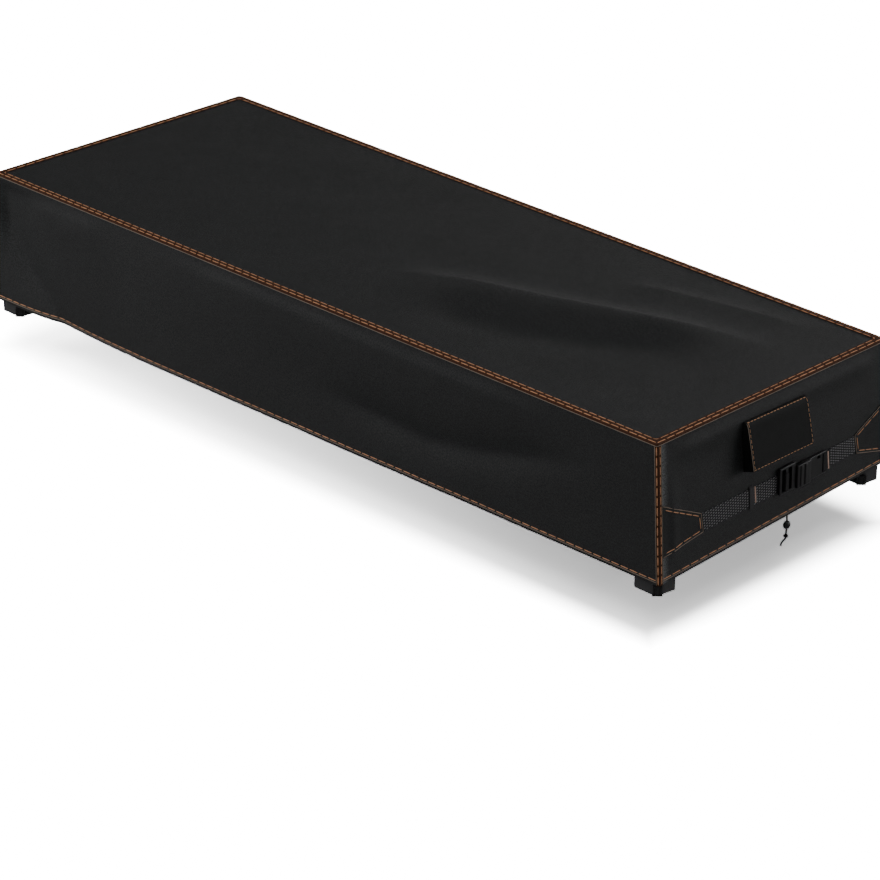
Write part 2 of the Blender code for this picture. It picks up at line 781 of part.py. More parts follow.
def add_leg_strap(name, collection, cutters, corner, end_wall, side_wall):
    """The webbing loop inside one bottom corner, with its clip at the side in view."""
    hem = corner.hem_point
    limit_x = wall_limit(end_wall, corner, STRAP_DEPTH, 0)
    limit_y = wall_limit(side_wall, corner, STRAP_LENGTH, 1)
    centre = Vector((
        limit_x - math.copysign(STRAP_LENGTH / 2, limit_x),
        limit_y - math.copysign(STRAP_DEPTH / 2, limit_y),
    ))
    outline = rounded_outline(STRAP_LENGTH, STRAP_DEPTH, STRAP_RADIUS, 4)
    upper = hem.z + STRAP_LAP
    lower = upper - STRAP_HEIGHT - corner.slid

    def place(index, fall):
        spot = outline[index] + centre
        from_tail = outline[index].y - STRAP_DEPTH / 2 + TAIL_FROM_END
        tail = STRAP_TAIL * math.exp(-(from_tail / TAIL_WIDTH) ** 2)
        tail *= smooth_step(outline[index].x / (STRAP_LENGTH / 2))
        return Vector((spot.x, spot.y, lerp(upper, lower - tail, fall)))

    stations = range(len(outline))
    strap = add_sheet(name, collection, place, stations, (0.0, 1.0), STRAP_WEBBING, True)
    paint_webbing(strap)
    add_strap_clip(name + "_clip", collection, cutters, centre, hem.z - corner.slid)


def add_strap_clip(name, collection, cutters, centre, height):
    """The clip that closes a leg strap, across the strap's front corner and just below height."""
    reach = STRAP_RADIUS / math.sqrt(2) - STRAP_RADIUS
    facing = Vector((1.0, -1.0, 0.0)).normalized()
    corner = Vector((centre.x + STRAP_LENGTH / 2 + reach, centre.y - STRAP_DEPTH / 2 - reach, 0.0))
    middle = corner + facing * (SEAM_GAP + CLIP_THICKNESS / 2)
    middle.z = height - CLIP_DROP - CLIP_HEIGHT / 2
    size = (CLIP_THICKNESS, CLIP_WIDTH, CLIP_HEIGHT)
    clip = add_block(name, collection, size, (0.0, 0.0, 0.0), CLIP_ROUNDING)
    depth, wide, tall = CLIP_SLOT
    slots = [
        add_block(f"{name}_slot_{index}", cutters, (depth * 2, wide, tall),
                  (CLIP_THICKNESS / 2, offset, -CLIP_ROUNDING))
        for index, offset in enumerate(CLIP_SLOTS)
    ]
    combine(clip, slots, "DIFFERENCE", cutters)
    frame = Matrix.Translation(middle) @ Matrix.Rotation(-math.pi / 4, 4, "Z")
    mount_on(frame, clip, slots)
    return paint_plastic(clip)


def add_drawcord(collection):
    """The free end of the hem's drawcord."""
    path = bpy.data.curves.new("drawcord", "CURVE")
    path.dimensions = "3D"
    path.bevel_depth = CORD_DIAMETER / 2
    path.bevel_resolution = 2
    path.use_fill_caps = True
    line = path.splines.new("POLY")
    line.points.add(len(CORD_ROUTE) - 1)
    for point, place in zip(line.points, CORD_ROUTE):
        point.co = (*place, 1.0)
    cord = bpy.data.objects.new("drawcord", path)
    collection.objects.link(cord)
    return paint_cord(cord)


def add_rod(name, collection, radius, centre, sideways):
    """A round cutter that goes right through, upright or along X."""
    rod = bmesh.new()
    turn = Matrix.Rotation(math.pi / 2, 4, "Y") if sideways else Matrix.Identity(4)
    bmesh.ops.create_cone(
        rod, cap_ends=True, segments=20, radius1=radius, radius2=radius, depth=CUT_THROUGH,
        matrix=turn,
    )
    item = add_mesh(name, rod, collection)
    item.location = centre
    return item


def add_cord_lock(collection, cutters):
    """The ball lock on the drawcord, with the cord's bore and an eye through it."""
    ball = bmesh.new()
    shape = Matrix.Diagonal((LOCK_FLATNESS, 1.0, 1.0, 1.0))
    bmesh.ops.create_uvsphere(ball, u_segments=24, v_segments=14, radius=LOCK_RADIUS, matrix=shape)
    lock = add_mesh("cord_lock", ball, collection)
    lock.location = LOCK_CENTRE
    centre = Vector(LOCK_CENTRE)
    bore_radius = CORD_DIAMETER / 2 + BORE_CLEARANCE
    bore = add_rod("lock_bore", cutters, bore_radius, centre, False)
    eye_centre = centre + Vector((0.0, LOCK_EYE_OFFSET, 0.0))
    eye = add_rod("lock_eye", cutters, LOCK_EYE_RADIUS, eye_centre, True)
    combine(lock, [bore, eye], "DIFFERENCE", cutters)
    return paint_plastic(lock)


def add_knot(collection):
    """The knot below the lock: one turn of the cord round itself."""
    ring = bmesh.new()
    steps = 20
    bmesh.ops.create_grid(ring, x_segments=steps, y_segments=8, size=0.5)
    for vertex in ring.verts:
        turn = 2 * math.pi * (vertex.co.x + 0.5)
        round_strand = 2 * math.pi * (vertex.co.y + 0.5)
        reach = KNOT_RADIUS + KNOT_STRAND * math.cos(round_strand)
        rise = KNOT_STRAND * KNOT_STRETCH * math.sin(round_strand) + KNOT_TWIST * math.sin(turn)
        vertex.co = Vector((reach * math.cos(turn), reach * math.sin(turn), rise))
    bmesh.ops.remove_doubles(ring, verts=ring.verts, dist=MERGE)
    bmesh.ops.recalc_face_normals(ring, faces=ring.faces)
    knot = add_mesh("cord_knot", ring, collection)
    knot.location = KNOT_CENTRE
    return paint_cord(knot)


def main():
    clear_scene()
    cover = make_collection("Cover")
    cutters = make_collection("Cutters")

    add_top_panel(cover)
    add_panel("side_panel_front", cover, FRONT, columns=52, rows=12)
    add_panel("side_panel_back", cover, BACK, columns=36, rows=8)
    add_panel("end_panel_vented", cover, NEAR_END, columns=22, rows=12)
    add_panel("end_panel_far", cover, FAR_END, columns=14, rows=8)

    add_top_tape(cover)
    add_corner_tape("corner_tape_near_front", cover, FRONT, NEAR_END)
    add_corner_tape("corner_tape_near_back", cover, NEAR_END, BACK)
    add_corner_tape("corner_tape_far_back", cover, BACK, FAR_END)
    add_corner_tape("corner_tape_far_front", cover, FAR_END, FRONT)

    add_hood(cover)
    add_patches(cover)
    for thread in THREADS:
        add_webbing(cover, thread)
    add_keeper(cover)
    add_buckle(cover, cutters)

    straps = {
        "near_front": (NEAR_FRONT, NEAR_END, FRONT),
        "near_back": (NEAR_BACK, NEAR_END, BACK),
        "far_back": (FAR_BACK, FAR_END, BACK),
        "far_front": (FAR_FRONT, FAR_END, FRONT),
    }
    for name, walls in straps.items():
        add_leg_strap("leg_strap_" + name, cover, cutters, *walls)

    add_drawcord(cover)
    add_cord_lock(cover, cutters)
    add_knot(cover)
    bpy.context.view_layer.update()


main()
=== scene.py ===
"""Fitted outdoor cover for a flat lounge chair, dressed in cloth, stitches and webbing.

Metres, +Z up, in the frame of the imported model: X runs along the cover, the vented end is at
+X and the long side in view at -Y, and the origin is the middle of the top panel's underside.
"""

from __future__ import annotations

import functools
import json
import logging
import math
from collections.abc import Callable, Sequence
from dataclasses import dataclass, replace
from enum import Enum

import bmesh
import bpy
from mathutils import Matrix, Vector, noise

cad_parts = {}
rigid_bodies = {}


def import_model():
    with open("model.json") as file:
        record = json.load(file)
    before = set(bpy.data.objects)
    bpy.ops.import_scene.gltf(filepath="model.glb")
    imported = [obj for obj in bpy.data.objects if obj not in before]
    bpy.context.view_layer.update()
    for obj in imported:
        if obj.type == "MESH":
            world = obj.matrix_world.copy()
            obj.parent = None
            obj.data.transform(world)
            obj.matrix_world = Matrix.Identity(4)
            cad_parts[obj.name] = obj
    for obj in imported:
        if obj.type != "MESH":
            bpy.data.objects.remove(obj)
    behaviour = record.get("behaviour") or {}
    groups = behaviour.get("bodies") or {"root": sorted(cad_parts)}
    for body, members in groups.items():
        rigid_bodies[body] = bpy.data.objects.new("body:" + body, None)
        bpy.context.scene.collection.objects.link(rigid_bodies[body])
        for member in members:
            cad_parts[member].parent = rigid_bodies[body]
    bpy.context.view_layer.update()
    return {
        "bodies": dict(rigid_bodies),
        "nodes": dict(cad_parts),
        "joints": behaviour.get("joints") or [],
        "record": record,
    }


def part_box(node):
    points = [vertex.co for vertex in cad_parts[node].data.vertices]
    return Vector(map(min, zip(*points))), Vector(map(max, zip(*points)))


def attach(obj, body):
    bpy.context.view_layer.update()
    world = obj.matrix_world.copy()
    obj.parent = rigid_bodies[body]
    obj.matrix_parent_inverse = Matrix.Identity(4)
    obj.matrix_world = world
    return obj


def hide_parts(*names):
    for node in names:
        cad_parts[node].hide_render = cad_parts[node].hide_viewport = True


LOG = logging.getLogger("lounge_cover")
BODY = "root"

Colour = tuple[float, float, float]
Place = Callable[[float, float], Vector]
Line = Callable[[float, float, float], Vector]

# Cloth and tape, as they are cut
CLOTH = 0.002
TOP_FACE = CLOTH
HEM_THICKNESS = 0.004
HEM_WIDTH = 0.022
HEM_STEP = 0.003
TAPE = 0.001
SEAM_GAP = 0.0003
TOP_INSET = CLOTH + 0.0004
END_INSET = HEM_THICKNESS + 0.0005
TOP_TAPE_WIDTH = 0.019
TOP_TAPE_DROP = 0.004
END_TAPE_LEG = 0.0125
SIDE_TAPE_LEG = 0.006
TAPE_CLEAR = 0.001
EDGE_FADE = 0.030
WEBBING = 0.0016
WEBBING_WIDTH = 0.042
WEBBING_REST = SEAM_GAP + WEBBING / 2
WEBBING_LAID = WEBBING_REST + WEBBING + SEAM_GAP
BUCKLE_UNDERSIDE = SEAM_GAP + WEBBING + SEAM_GAP
MERGE = 0.00001


class Slot(Enum):
    """Material slots of the record."""

    CLOTH = "cloth"
    PATCH = "patch"
    TAPE = "tape"
    WEBBING = "webbing"
    PLASTIC = "plastic"
    CORD = "cord"


class Held(Enum):
    """How a sheet of the cover is held."""

    HUNG = "hung"
    FOLDED = "folded"
    STRETCHED = "stretched"


# ---------------------------------------------------------------- shader nodes


class Nodes:
    """Short calls that build one node tree."""

    def __init__(self, tree: bpy.types.NodeTree) -> None:
        """Start on a tree.

        Args:
            tree: a material's tree or a group.
        """
        self.tree = tree

    def add(self, kind: str, **settings: object) -> bpy.types.Node:
        """Add a node and set its properties.

        Args:
            kind: the node's type name after "ShaderNode".
            settings: properties of the node.

        Returns:
            The new node.
        """
        node = self.tree.nodes.new("ShaderNode" + kind)
        for name, value in settings.items():
            setattr(node, name, value)
        return node

    def feed(self, socket: bpy.types.NodeSocket, value: object) -> None:
        """Link a socket's source, or set its constant."""
        if isinstance(value, bpy.types.NodeSocket):
            self.tree.links.new(value, socket)
        else:
            socket.default_value = value

    def math(self, operation: str, *values: object) -> bpy.types.NodeSocket:
        """A Math node on sockets or numbers; returns its output."""
        node = self.add("Math", operation=operation)
        for socket, value in zip(node.inputs, values):
            self.feed(socket, value)
        return node.outputs[0]

    def mix(
        self, kind: str, factor: object, first: object, second: object,
    ) -> bpy.types.NodeSocket:
        """A mix of two values.

        Args:
            kind: "RGBA" or "FLOAT".
            factor: 0 for the first and 1 for the second.
            first: socket or constant.
            second: socket or constant.

        Returns:
            The node's output.
        """
        node = self.add("Mix", data_type=kind)
        self.feed(node.inputs["Factor"], factor)
        self.feed(node.inputs["A"], first)
        self.feed(node.inputs["B"], second)
        return node.outputs["Result"]

    def noise(self, place: object, scale: float, detail: float = 2.0) -> bpy.types.NodeSocket:
        """A noise texture's value at a place; returns its output."""
        node = self.add("TexNoise")
        self.feed(node.inputs["Vector"], place)
        node.inputs["Scale"].default_value = scale
        node.inputs["Detail"].default_value = detail
        return node.outputs["Fac"]

    def spread(
        self, value: object, low: float, high: float, start: float = 0.0, finish: float = 1.0,
        curve: str = "LINEAR",
    ) -> bpy.types.NodeSocket:
        """Bring a value from one range to another.

        Args:
            value: the socket to bring over.
            low: result at start.
            high: result at finish.
            start: where the value's range starts.
            finish: where it ends.
            curve: the node's interpolation type.

        Returns:
            The node's output.
        """
        node = self.add("MapRange", interpolation_type=curve)
        self.feed(node.inputs["Value"], value)
        limits = {"From Min": start, "From Max": finish, "To Min": low, "To Max": high}
        for name, limit in limits.items():
            node.inputs[name].default_value = limit
        return node.outputs["Result"]

    def scaled(self, vector: object, factor: object) -> bpy.types.NodeSocket:
        """A vector or colour times a factor; returns its output."""
        node = self.add("VectorMath", operation="SCALE")
        self.feed(node.inputs[0], vector)
        self.feed(node.inputs["Scale"], factor)
        return node.outputs[0]

    def axes(self, place: object) -> bpy.types.bpy_prop_collection:
        """A vector taken apart; returns its outputs X, Y and Z."""
        node = self.add("SeparateXYZ")
        self.feed(node.inputs[0], place)
        return node.outputs

    def group(self, tree: bpy.types.NodeTree, **values: object) -> bpy.types.Node:
        """Place a shared group with its own values.

        Args:
            tree: the group.
            values: its inputs by name, with _ for a space.

        Returns:
            The group's node.
        """
        node = self.add("Group", node_tree=tree)
        for name, value in values.items():
            self.feed(node.inputs[name.replace("_", " ")], value)
        return node


def new_group(
    name: str, inputs: dict[str, str], outputs: dict[str, str],
) -> tuple[Nodes, bpy.types.Node, bpy.types.Node]:
    """A shader node group with named sockets.

    Args:
        name: the group's name.
        inputs: socket kinds ("Float", "Vector" or "Color") by name.
        outputs: the same, for what it puts out.

    Returns:
        Its nodes, its input node and its output node.
    """
    tree = bpy.data.node_groups.new(name, "ShaderNodeTree")
    for way, sockets in (("INPUT", inputs), ("OUTPUT", outputs)):
        for label, kind in sockets.items():
            tree.interface.new_socket(label, in_out=way, socket_type="NodeSocket" + kind)
    source = tree.nodes.new("NodeGroupInput")
    target = tree.nodes.new("NodeGroupOutput")
    return Nodes(tree), source, target


@functools.cache
def weave_group() -> bpy.types.NodeTree:
    """Plain weave over UVs in metres: warp and weft in turn on top.

    Returns:
        The group, which puts out Height and Warp.
    """
    nodes, given, out = new_group(
        "Plain weave",
        {"Cut": "Vector", "Pitch Along": "Float", "Pitch Across": "Float"},
        {"Height": "Float", "Warp": "Float"},
    )
    cut = nodes.axes(given.outputs["Cut"])
    waves = []
    for axis, pitch in (("X", "Pitch Along"), ("Y", "Pitch Across")):
        turn = nodes.math("DIVIDE", cut[axis], given.outputs[pitch])
        waves.append(nodes.math("SINE", nodes.math("MULTIPLY", turn, math.pi)))
    warp_on_top = nodes.math("GREATER_THAN", nodes.math("MULTIPLY", *waves), 0.0)
    along, across = (nodes.math("ABSOLUTE", wave) for wave in waves)
    thread = nodes.mix("FLOAT", warp_on_top, along, across)
    height = nodes.math("ADD", thread, nodes.math("MULTIPLY", along, across))
    nodes.feed(out.inputs["Height"], nodes.math("MULTIPLY", height, 0.5))
    nodes.feed(out.inputs["Warp"], warp_on_top)
    return nodes.tree


@functools.cache
def tone_group() -> bpy.types.NodeTree:
    """Broad and fine unevenness of a dyed or moulded surface: its colour and its roughness.

    Returns:
        The group, which puts out Colour and Roughness.
    """
    nodes, given, out = new_group(
        "Uneven tone",
        {"Place": "Vector", "Colour": "Color", "Spread": "Float", "Roughness": "Float"},
        {"Colour": "Color", "Roughness": "Float"},
    )
    broad = nodes.noise(given.outputs["Place"], 5.0, 3.0)
    fine = nodes.noise(given.outputs["Place"], 70.0, 2.0)
    mixed = nodes.math("ADD", nodes.math("MULTIPLY", broad, 0.6), nodes.math("MULTIPLY", fine, 0.4))
    swing = nodes.math("MULTIPLY", nodes.math("SUBTRACT", mixed, 0.5), given.outputs["Spread"])
    tinted = nodes.scaled(given.outputs["Colour"], nodes.math("ADD", swing, 1.0))
    nodes.feed(out.inputs["Colour"], tinted)
    rough = nodes.math("SUBTRACT", given.outputs["Roughness"], nodes.math("MULTIPLY", swing, 0.15))
    nodes.feed(out.inputs["Roughness"], rough)
    return nodes.tree


@functools.cache
def strand_group() -> bpy.types.NodeTree:
    """Slanting twist of a thread or a braid over UVs in metres.

    Returns:
        The group, which puts out Height.
    """
    nodes, given, out = new_group(
        "Twisted strand",
        {"Cut": "Vector", "Pitch": "Float", "Slant": "Float"},
        {"Height": "Float"},
    )
    cut = nodes.axes(given.outputs["Cut"])
    slanted = nodes.math("MULTIPLY", cut["Y"], given.outputs["Slant"])
    along = nodes.math("ADD", cut["X"], slanted)
    turn = nodes.math("DIVIDE", along, given.outputs["Pitch"])
    nodes.feed(out.inputs["Height"], nodes.math("ABSOLUTE", nodes.math("SINE", turn)))
    return nodes.tree


@functools.cache
def grain_group() -> bpy.types.NodeTree:
    """Fine moulded or coated grain.

    Returns:
        The group, which puts out Height.
    """
    nodes, given, out = new_group(
        "Fine grain", {"Place": "Vector", "Scale": "Float"}, {"Height": "Float"},
    )
    scaled = nodes.scaled(given.outputs["Place"], given.outputs["Scale"])
    nodes.feed(out.inputs["Height"], nodes.noise(scaled, 1.0, 3.0))
    return nodes.tree


def new_material(name: str, specular: float) -> tuple[Nodes, bpy.types.Node, bpy.types.Material]:
    """A material with a Principled shader.

    Args:
        name: the material's name.
        specular: constant specular level of its shader.

    Returns:
        Its nodes, its shader and the material.
    """
    material = bpy.data.materials.new(name)
    material.use_nodes = True
    shader = material.node_tree.nodes["Principled BSDF"]
    shader.inputs["Specular IOR Level"].default_value = specular
    return Nodes(material.node_tree), shader, material


def uneven_colour(
    nodes: Nodes, shader: bpy.types.Node, place: bpy.types.NodeSocket, colour: Colour,
    spread: float, roughness: float,
) -> bpy.types.NodeSocket:
    """Give a shader uneven roughness, and its colour the same unevenness.

    Args:
        nodes: the material's nodes.
        shader: its shader.
        place: object coordinates.
        colour: the even colour.
        spread: how far the tone swings.
        roughness: the even roughness.

    Returns:
        The uneven colour.
    """
    tone = nodes.group(
        tone_group(), Place=place, Colour=(*colour, 1.0), Spread=spread, Roughness=roughness,
    )
    nodes.feed(shader.inputs["Roughness"], tone.outputs["Roughness"])
    return tone.outputs["Colour"]


def add_relief(nodes: Nodes, shader: bpy.types.Node, height: object, depth: float) -> None:
    """Feed a height in 0 to 1 into the shader's normal, depth metres deep."""
    bump = nodes.add("Bump")
    bump.inputs["Distance"].default_value = depth
    nodes.feed(bump.inputs["Height"], height)
    nodes.feed(shader.inputs["Normal"], bump.outputs["Normal"])


@dataclass(frozen=True)
class WovenFinish:
    """Coated or plain woven cloth: dyed yarn, its weave, the specks where the coat thins and a
    painted sheen strip beside its first corner.
    """

    name: str
    colour: Colour
    roughness: float
    specular: float
    pitch: float
    relief: float
    speck: float = 0.0
    speck_size: float = 0.0038
    # A painted sheen strip beside the first corner: how much lighter it paints the colour, where it
    # starts easing out and over what width.
    painted_sheen: float = 0.0
    painted_sheen_from: float = 0.012
    painted_sheen_width: float = 0.024

    @functools.cache
    def material(self) -> bpy.types.Material:
        """Build the material once.

        Returns:
            The material.
        """
        nodes, shader, material = new_material(self.name, self.specular)
        where = nodes.add("TexCoord")
        weave = nodes.group(
            weave_group(), Cut=where.outputs["UV"], Pitch_Along=self.pitch,
            Pitch_Across=self.pitch,
        )
        dyed = uneven_colour(
            nodes, shader, where.outputs["Object"], self.colour, 0.55, self.roughness,
        )
        yarn = nodes.scaled(dyed, nodes.spread(weave.outputs["Warp"], 0.86, 1.14))
        specks = nodes.noise(where.outputs["UV"], 1.0 / self.speck_size, 1.0)
        sharp = nodes.spread(specks, 1.0 - self.speck, 1.0 + self.speck, 0.35, 0.65)
        # Specks, times the painted sheen strip beside the first corner.
        painted_lighter = nodes.math("MULTIPLY", sharp, self.painted_lighter(nodes, where.outputs["UV"]))
        nodes.feed(shader.inputs["Base Color"], nodes.scaled(yarn, painted_lighter))
        height = nodes.math("ADD", weave.outputs["Height"], nodes.math("MULTIPLY", specks, 0.6))
        add_relief(nodes, shader, height, self.relief)
        return material

    def painted_lighter(self, nodes: Nodes, cut: bpy.types.NodeSocket) -> bpy.types.NodeSocket:
        """How much lighter a painted sheen strip makes the cloth beside its first corner."""
        return nodes.spread(
            nodes.axes(cut)["X"], 1.0 + self.painted_sheen, 1.0, self.painted_sheen_from,
            self.painted_sheen_from + self.painted_sheen_width, "SMOOTHSTEP",
        )


@dataclass(frozen=True)
class MeshWebbingFinish:
    """Black webbing with a lattice of light flecks woven in, up to where it is threaded."""

    name: str
    plain_from: float
    colour: Colour = (0.014, 0.014, 0.015)
    fleck: Colour = (0.26, 0.26, 0.265)
    along: float = 0.0080
    across: float = 0.0063
    slant: float = 0.25
    fleck_size: tuple[float, float] = (0.40, 0.27)
    contrast: float = 1.8
    fine_pitch: float = 0.0011

    @functools.cache
    def material(self) -> bpy.types.Material:
        """Build the material once.

        Returns:
            The material.
        """
        nodes, shader, material = new_material(self.name, 0.3)
        where = nodes.add("TexCoord")
        cut = nodes.axes(where.outputs["UV"])
        column = nodes.math("DIVIDE", cut["X"], self.along)
        odd = nodes.math("ABSOLUTE", nodes.math("MODULO", nodes.math("FLOOR", column), 2.0))
        row = nodes.math("DIVIDE", cut["Y"], self.across)
        row = nodes.math("ADD", row, nodes.math("MULTIPLY", odd, 0.5))
        in_column = nodes.math("SUBTRACT", nodes.math("FRACT", column), 0.5)
        in_row = nodes.math("SUBTRACT", nodes.math("FRACT", row), 0.5)
        slanted = nodes.math("ADD", in_row, nodes.math("MULTIPLY", in_column, self.slant))
        reach, breadth = (
            nodes.math("POWER", nodes.math("DIVIDE", off, size), 2.0)
            for off, size in zip((in_column, slanted), self.fleck_size)
        )
        inside = nodes.math("SUBTRACT", 1.0, nodes.math("ADD", reach, breadth))
        woven = nodes.math("LESS_THAN", cut["X"], self.plain_from)
        fleck = nodes.math("MULTIPLY", nodes.math("MULTIPLY", inside, self.contrast), woven)
        clamp = nodes.add("Clamp")
        nodes.feed(clamp.inputs["Value"], fleck)
        mask = clamp.outputs["Result"]
        dyed = uneven_colour(nodes, shader, where.outputs["Object"], self.colour, 0.4, 0.75)
        colour = nodes.mix("RGBA", mask, dyed, (*self.fleck, 1.0))
        nodes.feed(shader.inputs["Base Color"], colour)
        weave = nodes.group(
            weave_group(), Cut=where.outputs["UV"], Pitch_Along=self.fine_pitch,
            Pitch_Across=self.fine_pitch,
        )
        height = nodes.math("ADD", weave.outputs["Height"], nodes.math("MULTIPLY", mask, 1.5))
        add_relief(nodes, shader, height, 0.0003)
        return material


@dataclass(frozen=True)
class StrandFinish:
    """Twisted thread or braided cord, with painted shade in the twist's grooves."""

    name: str
    colour: Colour
    pitch: float
    slant: float
    roughness: float = 0.6
    spread: float = 0.9

    @functools.cache
    def material(self) -> bpy.types.Material:
        """Build the material once.

        Returns:
            The material.
        """
        nodes, shader, material = new_material(self.name, 0.35)
        where = nodes.add("TexCoord")
        twist = nodes.group(
            strand_group(), Cut=where.outputs["UV"], Pitch=self.pitch / math.pi,
            Slant=self.slant,
        )
        dyed = uneven_colour(
            nodes, shader, where.outputs["Object"], self.colour, self.spread, self.roughness,
        )
        # Painted shade: the twist's grooves are painted darker.
        painted_groove_shade = nodes.spread(twist.outputs["Height"], 0.55, 1.1)
        nodes.feed(shader.inputs["Base Color"], nodes.scaled(dyed, painted_groove_shade))
        add_relief(nodes, shader, twist.outputs["Height"], 0.0003)
        return material


@dataclass(frozen=True)
class PlasticFinish:
    """Moulded plastic: satin, finely grained, with a painted highlight that makes its sharp edges
    lighter.
    """

    name: str
    colour: Colour
    roughness: float
    edge_range: tuple[float, float] = (0.52, 0.62)

    @functools.cache
    def material(self) -> bpy.types.Material:
        """Build the material once.

        Returns:
            The material.
        """
        nodes, shader, material = new_material(self.name, 0.5)
        where = nodes.add("TexCoord")
        dyed = uneven_colour(
            nodes, shader, where.outputs["Object"], self.colour, 0.5, self.roughness,
        )
        # Painted highlight: sharp edges are painted half way towards a colour three times as light.
        sharpness = nodes.add("NewGeometry").outputs["Pointiness"]
        edge = nodes.spread(sharpness, 0.0, 0.5, *self.edge_range)
        painted_lighter = tuple(part * 3.0 + 0.01 for part in self.colour)
        colour = nodes.mix("RGBA", edge, dyed, (*painted_lighter, 1.0))
        nodes.feed(shader.inputs["Base Color"], colour)
        grain = nodes.group(grain_group(), Place=where.outputs["Object"], Scale=1800.0)
        add_relief(nodes, shader, grain.outputs["Height"], 0.00006)
        return material


COATED_CLOTH = WovenFinish(
    "coated_cloth", (0.0190, 0.0198, 0.0205), 0.54, 0.30, 0.0012, 0.00022, speck=0.45,
)
# The vented end's cloth has a painted sheen strip beside its first corner, up to 6 times lighter,
# easing out from 12 to 36 mm.
END_CLOTH = replace(COATED_CLOTH, name="end_cloth", painted_sheen=5.0)
PATCH_CLOTH_FINISH = WovenFinish(
    "patch_cloth", (0.0160, 0.0166, 0.0172), 0.58, 0.27, 0.0012, 0.00016, speck=0.35,
)
HOOD_FINISH = WovenFinish("hood_cloth", (0.0095, 0.0095, 0.0095), 0.62, 0.14, 0.0010, 0.00012)
TAPE_FINISH = WovenFinish("seam_tape", (0.060, 0.0200, 0.0075), 0.70, 0.18, 0.0009, 0.00015)
PLAIN_WEBBING = WovenFinish("plain_webbing", (0.042, 0.042, 0.044), 0.68, 0.35, 0.0014, 0.00035)
MESH_WEBBING = {
    "left": MeshWebbingFinish("mesh_webbing_left", 0.245),
    "right": MeshWebbingFinish("mesh_webbing_right", 0.100),
}
STITCH_THREAD = StrandFinish("stitch_thread", (0.80, 0.40, 0.21), 0.0022, 0.9)
HOOD_THREAD = StrandFinish("hood_thread", (0.62, 0.34, 0.18), 0.0018, 0.9)
BAR_TACK_THREAD = StrandFinish("bar_tack_thread", (0.72, 0.50, 0.40), 0.0022, 0.9)
EDGE_THREAD = StrandFinish("edge_thread", (0.34, 0.26, 0.20), 0.0018, 0.9)
BRAIDED_CORD = StrandFinish("braided_cord", (0.008, 0.008, 0.008), 0.0030, 1.4, 0.7, 0.5)
BLACK_PLASTIC = PlasticFinish("black_plastic", (0.010, 0.010, 0.011), 0.36)


# ---------------------------------------------------------------- shared shape


def smooth_step(value: float) -> float:
    """Ease from 0 to 1 while value goes from 0 to 1."""
    t = min(max(value, 0.0), 1.0)
    return t * t * (3.0 - 2.0 * t)


def lerp(first: float, second: float, factor: float) -> float:
    """The value a share of the way from first to second."""
    return first + (second - first) * factor


def spaced(start: float, finish: float, count: int) -> list[float]:
    """count + 1 values from start to finish."""
    return [lerp(start, finish, i / count) for i in range(count + 1)]


def path_length(path: Sequence[Vector]) -> float:
    """Length of a path through its points."""
    return sum((b - a).length for a, b in zip(path, path[1:]))


def direction(azimuth: float, elevation: float) -> Vector:
    """Unit vector at an azimuth, counted from -Y to +X, and an elevation, both in degrees."""
    turn, rise = math.radians(azimuth), math.radians(elevation)
    return Vector((
        math.sin(turn) * math.cos(rise), -math.cos(turn) * math.cos(rise), math.sin(rise),
    ))


def smooth_path(points: Sequence[Sequence[float]], steps: int) -> list[Vector]:
    """A smooth curve through points.

    Args:
        points: the points that it goes through, of any dimension.
        steps: pieces between two of them.

    Returns:
        The curve's points, ends included.
    """
    fixed = [Vector(p) for p in points]
    path = []
    for i in range(len(fixed) - 1):
        before = fixed[max(i - 1, 0)]
        start = fixed[i]
        end = fixed[i + 1]
        after = fixed[min(i + 2, len(fixed) - 1)]
        for step in range(steps):
            t = step / steps
            bend = (2 * before - 5 * start + 4 * end - after) * (t * t)
            turn = (3 * start - before - 3 * end + after) * (t * t * t)
            path.append(0.5 * (2 * start + (end - before) * t + bend + turn))
    path.append(fixed[-1])
    return path


@dataclass(frozen=True)
class Corner:
    """One vertical corner of the hung cover."""

    top: tuple[float, float]
    hem: tuple[float, float, float]

    @property
    def top_point(self) -> Vector:
        """The corner at the top face's height."""
        return Vector((*self.top, TOP_FACE))

    @property
    def hem_point(self) -> Vector:
        """The corner at the hem's lower edge."""
        return Vector(self.hem)


@dataclass(frozen=True)
class Fold:
    """A soft ridge, or a hollow where height is negative, along a line of a panel."""

    line: tuple[tuple[float, float], ...]
    height: float
    before: float
    beyond: float
    ease: float = 0.3
    power: float = 2.0

    @functools.cached_property
    def pieces(self) -> list[tuple[Vector, Vector, float]]:
        """Each straight piece of its line: where it starts, its run and the length before it.

        Returns:
            Start, run and length before it, of each.
        """
        points = [Vector(point) for point in self.line]
        pieces = []
        length = 0.0
        for start, end in zip(points, points[1:]):
            pieces.append((start, end - start, length))
            length += (end - start).length
        return pieces

    def height_at(self, place: Vector) -> float:
        """Its height at one place: it rises and dies out over its ease, and is wider to one side.

        Args:
            place: along and down, as in its line.

        Returns:
            The height.
        """
        nearest = None
        for start, run, length in self.pieces:
            share = min(max((place - start).dot(run) / run.length_squared, 0.0), 1.0)
            spot = start + run * share
            if nearest is None or (place - spot).length < (place - nearest).length:
                nearest = spot
                reached = length + share * run.length
        _, run, length = self.pieces[-1]
        passed = reached / (length + run.length)
        width = self.before if place.y < nearest.y else self.beyond
        swell = smooth_step(passed / self.ease) * smooth_step((1.0 - passed) / self.ease)
        return self.height * swell * math.exp(-((place - nearest).length / width) ** self.power)


# Height in metres of each size of small wave in hung cloth, and its waves to a metre.
WAVES = ((0.0011, 4.3), (0.0006, 11.0), (0.00022, 31.0))

